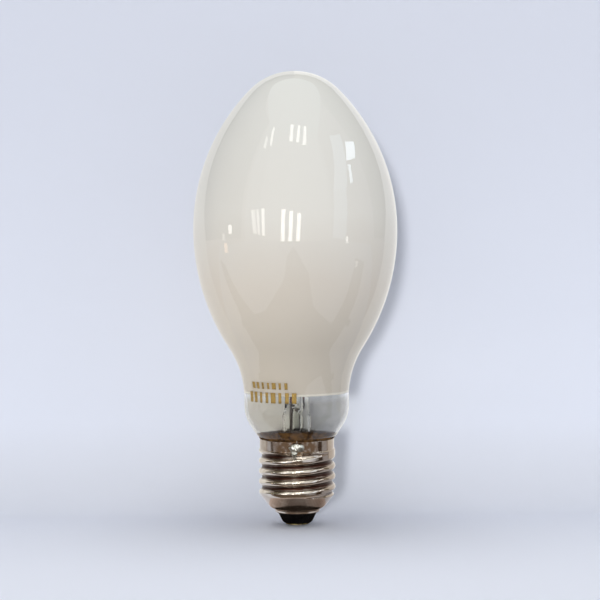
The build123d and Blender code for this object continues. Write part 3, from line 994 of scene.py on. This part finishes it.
    def bars(self, row: BarRow, finish: Finish) -> bpy.types.Object:
        """Lay a row of bars round the glass.

        Args:
            row: sizes of the row.
            finish: the ink.

        Returns:
            The row as a plain mesh.
        """
        sizes = {
            "Neck radius": self.neck_radius,
            "Blend radius": self.blend_radius,
            "Blend height": self.blend_height,
            "Lift": self.ink,
            "Thickness": self.ink,
            "Spacing": row.spacing,
            "Bar width": row.width,
            "Bar height": row.height,
            "Row height": row.level,
        }
        plain = {"Count": row.count, "Start angle": math.radians(row.start)}
        recipe = Recipe(row.name, {key: size * MM for key, size in sizes.items()} | plain)
        sheet, given = recipe.sheet, recipe.input
        edges = {0: given("Bar width"), 1: given("Thickness"), 2: given("Bar height")}
        size = sheet.add("ShaderNodeCombineXYZ", edges)
        cuts = {"Vertices X": 6, "Vertices Y": 2, "Vertices Z": 5}
        bar = sheet.add("GeometryNodeMeshCube", {"Size": size, **cuts})
        step = sheet.add("ShaderNodeCombineXYZ", {0: given("Spacing")})
        points = sheet.add("GeometryNodeMeshLine", {"Count": given("Count"), "Offset": step})
        chance = sheet.add("FunctionNodeRandomValue", {2: 0.55, 3: 1.05, 8: 7}, data_type="FLOAT")
        wide = sheet.add("ShaderNodeCombineXYZ", {0: chance.outputs[1], 1: 1.0, 2: 1.0})
        copies = {"Points": points, "Instance": bar, "Scale": wide}
        placed = sheet.add("GeometryNodeInstanceOnPoints", copies)
        flat = sheet.add("GeometryNodeRealizeInstances", {0: placed})
        across, out, up = recipe.place()
        level = up + given("Row height")
        rise = (level - given("Blend height")).most(0.0)
        bend = given("Blend radius")
        reach = given("Neck radius") + bend - (bend * bend - rise * rise).root()
        reach = reach + given("Lift") + given("Thickness") * 0.5 - out
        turn = across / given("Neck radius") + given("Start angle")
        recipe.finish_with(recipe.moved(flat, reach * turn.cosine(), reach * turn.sine(), level))
        piece = mesh_object(row.name, np.zeros((1, 3)), [])
        recipe.apply(piece, finish)
        return piece

    def build(self) -> None:
        """Make the glass, the coating and the bars."""
        glass = ClearGlass("bulb_glass", shade_tint_top=self.coat_edge * MM)
        settle(self.glass(), glass, "bulb_glass", "outer_bulb")
        settle(self.coating(), PowderCoat("powder_coat"), "white_coating", "diffuser_coating")
        ink = BareMetal("gold_ink", (0.42, 0.27, 0.06), (0.25, 0.17, 0.06), 0.5, 2200, metallic=0.4)
        for row in self.rows:
            settle(self.bars(row, ink), ink, "white_coating")


# ---- Cap


@dataclass
class Cap:
    """Threaded shell, cement, solder and the black glass foot. Sizes in millimetres.

    The fields named creep give the height of the cement's edge above the collar at four places from
    the front (-1) to the back (1). Those named run shape the solder that trails off the blob's foot.
    """

    wall: float = 0.3
    collar_radius: float = 12.85
    collar_length: float = 3.6
    top: float = 29.99
    land_radius: float = 13.185
    thread_bottom: float = 10.98
    waist_radius: float = 9.6
    waist_height: float = 6.31
    bead_radius: float = 7.7
    bead_top: float = 5.3
    lip_height: float = 4.4
    lip_radius: float = 6.7
    fillets: tuple[float, ...] = (0.25, 0.25, 2.0, 4.0, 0.4, 0.35)
    pitch: float = 3.629
    crest: float = 13.2
    root: float = 12.1
    start_height: float = 11.13
    start_angle: float = -20.0
    turns: float = 3.75
    fade_angle: float = 100.0
    fade_depth: float = 1.45
    past_thread: float = 10.0
    columns: int = 252
    outer_gap: float = 0.135
    inner_gap: float = 0.32
    cement_columns: int = 240
    cement_steps: int = 22
    cement_depth: float = 3.0
    cement_bite: float = 0.06
    cement_ragged: float = 0.14
    cement_bulge: float = 0.16
    cement_lumps: float = 0.10
    cement_lip: float = 0.04
    cement_clear: float = 0.01
    creep_places: tuple[float, ...] = (-1.0, -0.4, 0.0, 1.0)
    creep_heights: tuple[float, ...] = (3.65, 2.8, 1.75, 1.1)
    blob_rings: int = 22
    blob_columns: int = 96
    blob_half: Point = (2.75, 1.5)
    blob_high: float = 0.72
    blob_drop: float = 1.95
    blob_wander: float = 0.12
    blob_lumps: Point = (0.16, 0.06)
    blob_sink: float = 0.05
    run_turn: float = -1.95
    run_wide: float = 0.3
    run_long: float = 2.5
    run_thins: float = 0.3
    land_step: float = 0.36
    land_top: float = 26.5
    land_slope: float = 0.4

    def blank(self, inset: float) -> list[Point]:
        """Outline of the cap before its thread is rolled.

        Args:
            inset: how far it lies inside the sheet's outer face.

        Returns:
            The points from the collar down to the lip.
        """
        step = self.top - self.collar_length
        corners = [
            (self.collar_radius, self.top),
            (self.collar_radius, step),
            (self.land_radius, step - self.land_radius + self.collar_radius),
            (self.land_radius, self.thread_bottom),
            (self.waist_radius, self.waist_height),
            (self.bead_radius, self.bead_top),
            (self.bead_radius, self.lip_height),
            (self.lip_radius, self.lip_height),
        ]
        points = rounded(corners, self.fillets)
        if not inset:
            return points
        runs = [way(before, after) for before, after in zip([points[0], *points], [*points[1:], points[-1]])]
        return [along(point, (run[1], -run[0]), inset) for point, run in zip(points, runs)]

    def shell(self, finish: Finish) -> bpy.types.Object:
        """The sheet shell with its thread rolled by rule.

        Args:
            finish: the plating.

        Returns:
            The shell as a plain mesh.
        """
        outside = spaced(self.blank(0), self.outer_gap)
        inside = spaced(self.blank(self.wall), self.inner_gap)
        shell = turned("cap_sheet", outside + inside[::-1], self.columns)
        depth = shell.data.attributes.new("depth", "FLOAT", "POINT")
        counts = [len(outside) * self.columns, len(inside) * self.columns]
        depth.data.foreach_set("value", np.repeat([0.0, self.wall * MM], counts))
        recipe = Recipe(
            "rolled_thread",
            {
                "Pitch": self.pitch * MM,
                "Crest radius": self.crest * MM,
                "Root radius": self.root * MM,
                "Start height": self.start_height * MM,
                "Start angle": math.radians(self.start_angle),
                "Turns": self.turns,
                "Fade angle": math.radians(self.fade_angle),
                "Fade depth": self.fade_depth * MM,
            },
        )
        sheet, given = recipe.sheet, recipe.input
        x, y, z = recipe.place()
        pitch, crest, root = given("Pitch"), given("Crest radius"), given("Root radius")
        half, deep = pitch * 0.5, crest - root
        bend = (deep * deep + half * half) / (deep * 4.0)
        radius = (x * x + y * y).root()
        angle = (y.turn_to(x) - given("Start angle")).wrapped()
        climb = z - given("Start height")
        wound = angle + (climb / pitch - angle / math.tau).rounded() * math.tau
        off = (climb - pitch * wound / math.tau).size()
        low = root + bend - (bend * bend - off * off).most(0.0).root()
        rest = (half - off).most(0.0)
        high = crest - bend + (bend * bend - rest * rest).most(0.0).root()
        groove = low + (high - low) * off.above(half * 0.5)
        over = (wound * -1.0).most(wound - given("Turns") * math.tau).most(0.0)
        groove = groove + over / given("Fade angle") * given("Fade depth")
        groove = groove + over.above(given("Fade angle")) * (self.past_thread * MM)
        wall = sheet.add("GeometryNodeInputNamedAttribute", {"Name": "depth"}, data_type="FLOAT")
        scale = radius.least(groove - wall.outputs[0]) / radius
        recipe.finish_with(recipe.moved(given("Geometry").value, x * scale, y * scale, z))
        recipe.apply(shell, finish)
        return shell

    def cement(self, bulb: Bulb) -> bpy.types.Object:
        """Cement between collar and glass, with a ragged bead that creeps up the cone.

        Args:
            bulb: the bulb that it holds.

        Returns:
            The ring as a closed mesh.
        """
        skin = bulb.neck(bulb.wall + self.cement_bite)
        foot, lip = self.top - self.cement_depth, self.top + self.cement_lip
        inner_side = self.collar_radius - self.wall - self.cement_clear
        rows: list[list[Point]] = []
        for a in ring_angles(self.cement_columns):
            ring = (math.cos(a), math.sin(a), 0.0)
            ragged = self.cement_ragged * wavy(ring, 6.0, 2.0) + self.cement_ragged * wavy(ring, 17.0, 9.0)
            edge = self.top + np.interp(ring[1], self.creep_places, self.creep_heights) + ragged
            first = next(i for i, point in enumerate(skin) if point[1] < edge)
            above, below = skin[first - 1], skin[first]
            share = (above[1] - edge) / (above[1] - below[1])
            tip = along(above, way(above, below), math.dist(above, below) * share)
            inner = np.array([point for point in skin[first:] if point[1] > foot][::-1] + [tip])
            bulge = self.cement_bulge + self.cement_lumps * wavy(ring, 11.0, 4.0)
            outer = [
                (tip[0] + 0.10, tip[1] - 0.05),
                ((tip[0] + self.collar_radius) / 2 + bulge + 0.12, (tip[1] + lip) / 2 + 0.1),
                (self.collar_radius + 0.05 + bulge, lip + 0.22),
                (self.collar_radius - 0.02, lip),
                (inner_side, self.top - 0.2),
                (inner_side, foot),
            ]
            reach = np.concatenate([[0], np.cumsum(np.hypot(*np.diff(inner, axis=0).T))])
            steps = np.linspace(0, 1, self.cement_steps) * reach[-1]
            rows.append([*outer, *zip(*(np.interp(steps, reach, inner[:, k]) for k in (0, 1)))])
        radius, height = np.moveaxis(np.array(rows), -1, 0)
        corners = round_axis(radius.T, ring_angles(self.cement_columns), height.T)
        return mesh_object("cement_bead", corners, woven(radius.shape[1], self.cement_columns, loop=True))

    def solder(self) -> bpy.types.Object:
        """Blob of solder on the front of the collar, with a run that trails off its foot.

        Returns:
            The blob as a closed mesh.
        """
        rows = []
        for share in (i / self.blob_rings for i in range(self.blob_rings + 1)):
            for a in (math.tau * j / self.blob_columns for j in range(self.blob_columns)):
                rim = (math.cos(a), math.sin(a), 0.0)
                out = 1.0 + self.blob_wander * wavy(rim, 2.4, 3.0)
                across = self.blob_half[0] * out * share * math.cos(a)
                up = self.blob_half[1] * out * share * math.sin(a)
                tail = math.exp(-((math.remainder(a - self.run_turn, math.tau) / self.run_wide) ** 2))
                up -= self.run_long * tail * share**3
                spot = (across, up, 0)
                lump = self.blob_lumps[0] * wavy(spot, 0.9, 6.0) + self.blob_lumps[1] * wavy(spot, 2.6, 1.0)
                thin = math.exp(-self.run_thins * max(0, -up - self.blob_half[1]))
                high = (self.blob_high + lump) * (1 - share**2.2) ** 0.6 * thin
                height = self.top - self.blob_drop + up
                slope = min(1.0, max(0.0, (self.land_top - height) / self.land_slope))
                base = self.collar_radius + self.land_step * slope
                turn = -math.pi / 2 + across / self.collar_radius
                rows.append((turn, base - self.blob_sink + high, height))
        shape = (self.blob_rings + 1, self.blob_columns)
        turn, reach, height = (np.array(c).reshape(shape) for c in zip(*rows))
        inside = self.collar_radius - self.wall / 2
        tips = [(0, -reach[0, 0], height[0, 0]), (0, -inside, height[0, 0])]
        turn, height = (np.vstack([c, c[-1:]])[1:] for c in (turn, height))
        reach = np.vstack([reach, np.full((1, self.blob_columns), inside)])[1:]
        corners = np.vstack([round_axis(reach, turn, height), tips])
        return mesh_object("solder_blob", corners, capped(len(reach), self.blob_columns))

    def build(self, bulb: Bulb) -> None:
        """Make the shell, the cement and the solder, and dress the foot.

        Args:
            bulb: the bulb that the cap holds.
        """
        nickel = RolledNickel("rolled_nickel")
        cement = Earthy("capping_cement", (0.016, 0.006, 0.002), (0.112, 0.055, 0.016), shine=0.1)
        solder = BareMetal("set_solder", (0.66, 0.67, 0.62), (0.38, 0.39, 0.35), 0.3, 600, 0.0001)
        black = Earthy(
            "black_glass", (0.002, 0.002, 0.002), (0.006, 0.005, 0.005), 0.22, 300, 0.00004, shine=0.2
        )
        settle(self.shell(nickel), nickel, "nickel_plated_cap", "cap_shell")
        settle(self.cement(bulb), cement, "capping_cement", "cement_ring")
        settle(self.solder(), solder, "solder", "side_solder")
        carry_over(solder, "centre_solder")
        carry_over(black, "insulator")
        brass = BareMetal("contact_brass", (0.62, 0.50, 0.22), (0.34, 0.25, 0.11), 0.3, 600)
        carry_over(brass, "centre_contact")


# ---- Stem and burner


@dataclass
class Insides:
    """Stem, wires and burner, which keep their CAD shapes. Sizes in millimetres."""

    pinch_low: float = 42.5
    pinch_high: float = 49.2
    stem_bend: float = 1.22

    def build(self) -> None:
        """Dress each node."""
        carry_over(ClearGlass("stem_glass", shade_tint_top=-1.0, bend=self.stem_bend), "stem")
        lead = LeadWire("sealed_lead", self.pinch_low * MM, self.pinch_high * MM)
        carry_over(lead, "frame_lead", "return_lead")
        ends = ("upper_end_plug", "lower_end_plug")
        for name, colour, shade, rough, scale, *nodes in (
            ("thin_wire", (0.42, 0.38, 0.33), (0.18, 0.14, 0.12), 0.4, 1800, "centre_wire", "side_wire"),
            ("frame_wire", (0.58, 0.56, 0.52), (0.35, 0.32, 0.29), 0.32, 900, "frame_rod", "support_rod",
             "getter_holder"),
            ("spring_strip", (0.60, 0.60, 0.58), (0.40, 0.39, 0.37), 0.28, 500, "dome_spring",
             "upper_strap", "lower_strap"),
            ("niobium", (0.42, 0.43, 0.46), (0.28, 0.27, 0.31), 0.38, 700, "upper_niobium_tube",
             "lower_niobium_tube"),
            ("tungsten", (0.24, 0.24, 0.25), (0.12, 0.12, 0.13), 0.55, 1600, "upper_electrode",
             "lower_electrode"),
            ("amalgam", (0.66, 0.66, 0.66), (0.45, 0.46, 0.47), 0.12, 1200, "amalgam_bead"),
            ("getter_steel", (0.34, 0.34, 0.34), (0.12, 0.12, 0.13), 0.5, 1300, "getter_ring"),
        ):
            carry_over(BareMetal(name, colour, shade, rough, scale), *nodes)
        alumina = Earthy("alumina", (0.80, 0.78, 0.73), (0.90, 0.89, 0.86), 0.45, 500, 0.00003, 0.2)
        frit = Earthy("sealing_frit", (0.55, 0.53, 0.47), (0.72, 0.70, 0.64), 0.25, 900, 0.00005, 0.6)
        carry_over(alumina, "arc_tube", *ends)
        carry_over(frit, "upper_end_seal", "lower_end_seal")


# ---- Studio


class Tone(Enum):
    """Colours of the room that polished surfaces reflect."""

    LAMP = (1.0, 0.985, 0.95)
    DAYLIGHT = (0.80, 0.90, 1.0)
    PAPER = (0.90, 0.92, 1.0)
    UMBER = (1.0, 0.72, 0.52)
    OLIVE = (1.0, 0.93, 0.68)
    CEILING = (0.93, 1.0, 0.97)
    SHADOW = (1.0, 0.83, 0.76)


def heading(turn: float, lift: float) -> Vector:
    """Direction from degrees to the right of the camera and degrees above the level."""
    a, e = math.radians(turn), math.radians(lift)
    return Vector((math.sin(a) * math.cos(e), -math.cos(a) * math.cos(e), math.sin(e)))


def show_in_gloss(card: bpy.types.Object, tone: Tone, level: float) -> None:
    """Give a card its glow and hide it from all rays but glossy ones.

    Args:
        card: the card's mesh.
        tone: its colour.
        level: its brightness.
    """
    dress(card, Card(card.name, tone.value, level))
    for ray in ("camera", "diffuse", "transmission", "shadow", "volume_scatter"):
        setattr(card, "visible_" + ray, False)


@dataclass(frozen=True)
class Panel:
    """A glowing or dark card round the lamp, which only gloss sees.

    Args:
        name: name of the card.
        foot: directions of its lower corners, left and right, each as degrees to the right of the
            camera and degrees above the level.
        head: directions of its upper corners, left and right.
        tone: colour of its face.
        level: brightness of its face.
        away: distance, in metres.
        centre: height of the point on the axis that it bends round, in millimetres.
    """

    name: str
    foot: tuple[Point, Point]
    head: tuple[Point, Point]
    tone: Tone = Tone.LAMP
    level: float = 9.0
    away: float = 2.0
    centre: float = 100.0

    @classmethod
    def box(cls, name: str, turn: Point, lift: Point, *rest: object) -> "Panel":
        """A card between two directions to the side and two above the level."""
        foot, head = (((turn[0], rise), (turn[1], rise)) for rise in lift)
        return cls(name, foot, head, *rest)

    @classmethod
    def bar(cls, name: str, foot: Point, head: Point, wide: float, *rest: object) -> "Panel":
        """A slim card about a line from foot to head, with its width in degrees."""
        pairs = [((t - wide / 2, e), (t + wide / 2, e)) for t, e in (foot, head)]
        return cls(name, *pairs, *rest)

    def hang(self, steps: int = 8) -> None:
        """Bend the card round the lamp, out of sight of all rays but glossy ones.

        Args:
            steps: faces along each side.
        """
        side, rise = np.meshgrid(*[np.linspace(0, 1, steps + 1)] * 2)
        ends = np.radians(np.array([self.foot, self.head]))
        low, high = (end[0] + (end[1] - end[0]) * side[..., None] for end in ends)
        a, e = np.moveaxis(low + (high - low) * rise[..., None], -1, 0)
        grid = np.stack([np.sin(a) * np.cos(e), -np.cos(a) * np.cos(e), np.sin(e)], -1) * self.away / MM
        starts = [(steps + 1) * i + j for i in range(steps) for j in range(steps)]
        faces = [(k, k + 1, k + steps + 2, k + steps + 1) for k in starts]
        card = mesh_object(self.name, grid.reshape(-1, 3) + (0, 0, self.centre), faces)
        show_in_gloss(card, self.tone, self.level)


@dataclass
class Studio:
    """Floor, backdrop, lights, cards and camera.

    Paper and cards have their sizes in millimetres, lights and camera theirs in metres. The fields
    named shade give the widest of the ovals under the cap, how much narrower the last one is, its
    brightness, and how many times as bright the last one is.
    """

    wall_behind: float = 46.0
    wall_top: float = 230.0
    cove: float = 30.0
    cove_lead: float = 200.0
    floor: float = -0.2
    reach: float = 900.0
    distance: float = 0.700
    height: float = 0.120
    aim: float = 0.0776
    side_step: float = 0.00145
    lens: float = 122.3
    roll: float = 0.45
    glow_spot: Colour = (-0.16, -0.06, 0.012)
    glow_aim: Colour = (-0.012, 0, 0.058)
    glow_power: float = 0.0058
    glow_size: float = 0.06
    glow_spread: float = 44.0
    glow_colour: Colour = (1.0, 0.93, 0.8)
    shade_steps: int = 7
    shade_half: Point = (17.0, 27.0)
    shade_narrows: Point = (9.5, 10.0)
    shade_level: float = 0.62
    shade_fall: float = 0.24
    shade_lift: float = 0.01
    foot_shade: float = 11.8
    ceiling: float = 2000.0

    def sweep(self) -> None:
        """One sheet of paper that is the floor and, in a soft bend, the backdrop."""
        front, bend_top = self.wall_behind - self.cove, self.cove + self.floor
        outline = [(-self.reach, self.floor), (front - self.cove_lead, self.floor)]
        outline += arc((front, bend_top), (front, self.floor), (self.wall_behind, bend_top), 24)
        outline += [(self.wall_behind, bend_top), (self.wall_behind, self.wall_top)]
        corners = [(x, y, z) for y, z in outline for x in (-self.reach, self.reach)]
        faces = [(2 * i, 2 * i + 1, 2 * i + 3, 2 * i + 2) for i in range(len(outline) - 1)]
        paper = mesh_object("paper_sweep", np.array(corners), faces)
        paper.visible_glossy = False
        dress(paper, Paper("pale_paper"))

    def lights(self) -> None:
        """Soft suns and one low glow, which no gloss shows."""
        for name, turn, lift, strength, angle, colour in (
            ("front_sun", -7.2, 6.5, 1.3, 5.5, (1.0, 1.0, 1.0)),
            ("top_sun", -176.0, 80.0, 1.2, 52.0, (1.0, 1.0, 1.0)),
            ("cool_side", 68.0, 20.0, 0.2, 60.0, (0.74, 0.86, 1.0)),
        ):
            data = bpy.data.lights.new(name, "SUN")
            data.energy, data.angle, data.color = strength, math.radians(angle), colour
            sun = bpy.data.objects.new(name, data)
            sun.rotation_euler = heading(turn, lift).to_track_quat("Z", "Y").to_euler()
            sun.visible_glossy = sun.visible_transmission = False
            bpy.context.scene.collection.objects.link(sun)
        glow = bpy.data.lights.new("low_glow", "AREA")
        glow.energy, glow.size, glow.color = self.glow_power, self.glow_size, self.glow_colour
        glow.spread = math.radians(self.glow_spread)
        low = bpy.data.objects.new("low_glow", glow)
        low.location = self.glow_spot
        low.rotation_euler = (low.location - Vector(self.glow_aim)).to_track_quat("Z", "Y").to_euler()
        low.visible_camera = low.visible_glossy = low.visible_transmission = False
        bpy.context.scene.collection.objects.link(low)

    def panels(self) -> None:
        """Lamps, windows and walls that the glass and the metal reflect."""
        lamp, day, umber, olive = Tone.LAMP, Tone.DAYLIGHT, Tone.UMBER, Tone.OLIVE
        door = ((46.6, 21.1), (63.3, 19.4))
        for panel in (
            Panel.bar("tube_left", (-13.7, -5.9), (-12.8, 11.9), 4.2),
            Panel.bar("tube_middle", (-5.4, -5.9), (-3.9, 11.0), 4.2),
            Panel.bar("tube_right", (2.9, -5.9), (4.8, 9.8), 4.2),
            Panel.bar("side_tube", (-34.7, -2.9), (-36.3, 11.9), 3.4, lamp, 6.5),
            Panel.bar("side_tube_near", (-39.9, -2.1), (-42.7, 11.3), 2.8, lamp, 4.6),
            Panel.bar("side_tube_far", (-44.7, -1.6), (-47.9, 10.6), 4.6, lamp, 4.4),
            Panel.bar("ceiling_tube_left", (-6.7, 52.9), (-5.0, 64.3), 6.4, lamp, 7.0),
            Panel.bar("ceiling_tube_middle", (5.1, 52.3), (11.7, 63.7), 6.4, lamp, 7.0),
            Panel.bar("ceiling_tube_right", (16.5, 50.2), (25.1, 61.8), 6.4, lamp, 7.0),
            Panel.bar("far_tube_right", (-40.3, 47.9), (-45.6, 58.4), 4.4, lamp, 5.4),
            Panel.bar("far_tube_left", (-49.0, 45.1), (-51.7, 51.4), 4.4, lamp, 4.0),
            Panel("window_pane", ((76.0, 32.5), (92.3, 30.3)), ((87.7, 39.8), (103.9, 34.4)), day, 6.4),
            Panel("window_slit", ((70.7, 22.0), (75.5, 21.8)), ((75.6, 30.8), (79.8, 30.2)), day, 5.8),
            Panel("door_low", ((41.4, -4.0), (57.3, -5.3)), door, day, 1.7, 2.1),
            Panel("door_high", door, ((66.0, 49.0), (86.0, 44.3)), day, 2.0, 2.1),
            Panel.box("left_spot", (-77.0, -72.4), (-1.6, 2.4), lamp, 7.0, 0.45),
            Panel.box("left_glint", (-86.0, -82.6), (-4.6, -1.6), lamp, 2.5, 0.45),
            Panel.box("pink_spot", (-84.0, -79.4), (-9.8, -5.8), umber, 4.0, 0.45),
            Panel.box("door_spot", (56.6, 59.4), (-6.3, -3.3), lamp, 6.0, 0.5),
            Panel.box("low_glint", (67.8, 70.4), (-17.2, -14.2), lamp, 2.0, 0.2),
            Panel.box("dark_left", (-82.0, -40.0), (0.0, 5.8), umber, 0.03, 0.102, 0.0),
            Panel.box("dark_right", (56.0, 82.0), (0.0, 5.8), umber, 0.03, 0.102, 0.0),
            Panel.box("olive_left", (-180.0, -102.0), (-4.0, 60.0), olive, 0.10, 2.2),
            Panel.box("olive_wall", (-102.0, -62.0), (-4.0, 60.0), olive, 0.18, 2.3),
            Panel.box("olive_right", (98.0, 180.0), (-4.0, 60.0), olive, 0.35, 2.2),
            Panel.box("side_wall", (-58.0, 44.0), (-8.0, 60.0), lamp, 0.82, 2.5),
            Panel.box("bright_wall", (-40.0, 40.0), (-6.0, 60.0), lamp, 1.0, 2.4),
        ):
            panel.hang()

    def shades(self, ring: Sequence[Point]) -> list[tuple]:
        """Ovals on the table that darken softly towards the cap.

        Args:
            ring: a circle of radius one.

        Returns:
            Name, corners, tone and brightness of each oval.
        """
        ovals = []
        for i in range(self.shade_steps + 1):
            share = i / self.shade_steps
            wide, deep = (half - less * share for half, less in zip(self.shade_half, self.shade_narrows))
            corners = [(wide * x, deep * y, self.shade_lift + self.shade_lift * i) for x, y in ring]
            ovals.append((f"shade_{i}", corners, Tone.SHADOW, self.shade_level * self.shade_fall**share))
        return ovals

    def plates(self) -> None:
        """Flat cards: the arched board behind, the table with its shapes, and the ceiling."""
        arch = [(140, 0), (137, 93), (113, 122), (90, 146), (66, 172), (40, 190), (0, 200)]
        board = [(0, 0), *arch, *((-x, z) for x, z in arch[-2::-1])]
        table = [(-900, -900), (900, -900), (900, 45), (-900, 45)]
        star = [(-24, -651), (35, -400), (59, -232), (44, -110), (73, -57), (167, -78), (420, -150)]
        star += [(400, -50), (185, -30), (62, -24), (25, -18), (-20, -16), (-66, -15), (-147, -26)]
        star += [(-497, 30), (-382, -30), (-158, -58), (-78, -66), (-46, -207), (-65, -399)]
        above = [(-1000, -1150), (-1000, 1200), (1000, 1200), (1000, -1150)]
        ring = [(math.cos(i * math.pi / 18), math.sin(i * math.pi / 18)) for i in range(36)]
        foot = [(self.foot_shade * x, self.foot_shade * y, 0.09) for x, y in ring]
        behind = [[(x, 45, z - 0.1) for x, z in board if x * side >= 0] for side in (1, -1)]
        for name, corners, tone, level in (
            ("behind_right", behind[0], Tone.LAMP, 1.15),
            ("behind_left", behind[1], Tone.LAMP, 0.88),
            ("table", [(x, y, -0.1) for x, y in table], Tone.PAPER, 0.80),
            ("dark_star", [(x, y, 0.0) for x, y in star], Tone.UMBER, 0.13),
            *self.shades(ring),
            ("foot_shade", foot, Tone.UMBER, 0.02),
            ("ceiling", [(x, y, self.ceiling) for x, y in above], Tone.CEILING, 0.98),
        ):
            plate = mesh_object(name, np.array(corners, float), [tuple(range(len(corners)))])
            show_in_gloss(plate, tone, level)

    def world(self) -> None:
        """Even pale surround."""
        world = bpy.data.worlds.new("surround")
        world.use_nodes = True
        world.node_tree.nodes.clear()
        sheet = Sheet(world.node_tree)
        path = sheet.add("ShaderNodeLightPath").outputs
        lit, gloss, seen = (0.50, 0.495, 0.49), (0.62, 0.56, 0.52), (0.70, 0.73, 0.82)
        colour = sheet.blend(path["Is Camera Ray"], sheet.blend(path["Is Glossy Ray"], lit, gloss), seen)
        glow = sheet.add("ShaderNodeBackground", {"Color": colour, "Strength": 1.0})
        sheet.add("ShaderNodeOutputWorld", {"Surface": glow})
        bpy.context.scene.world = world

    def camera(self) -> None:
        """Camera where the photograph was taken from."""
        data = bpy.data.cameras.new("photo_camera")
        data.lens = self.lens
        eye = bpy.data.objects.new("photo_camera", data)
        spot = Vector((self.side_step, -self.distance, self.height))
        look = Vector((self.side_step, 0, self.aim)) - spot
        turn = look.to_track_quat("-Z", "Y").to_matrix().to_4x4()
        roll = Matrix.Rotation(math.radians(-self.roll), 4, "Z")
        eye.matrix_world = Matrix.Translation(spot) @ turn @ roll
        bpy.context.scene.collection.objects.link(eye)
        bpy.context.scene.camera = eye

    def build(self) -> None:
        """Set up the whole studio."""
        self.camera()
        self.sweep()
        self.lights()
        self.panels()
        self.plates()
        self.world()
        bpy.context.scene.view_settings.view_transform = "Standard"
        LOG.info("studio ready")


def main() -> None:
    """Build the lamp and its studio in order."""
    logging.basicConfig(level=logging.INFO, format="%(name)s: %(message)s")
    Studio().build()
    bulb = Bulb()
    bulb.build()
    Cap().build(bulb)
    Insides().build()


if __name__ == "__main__":
    main()
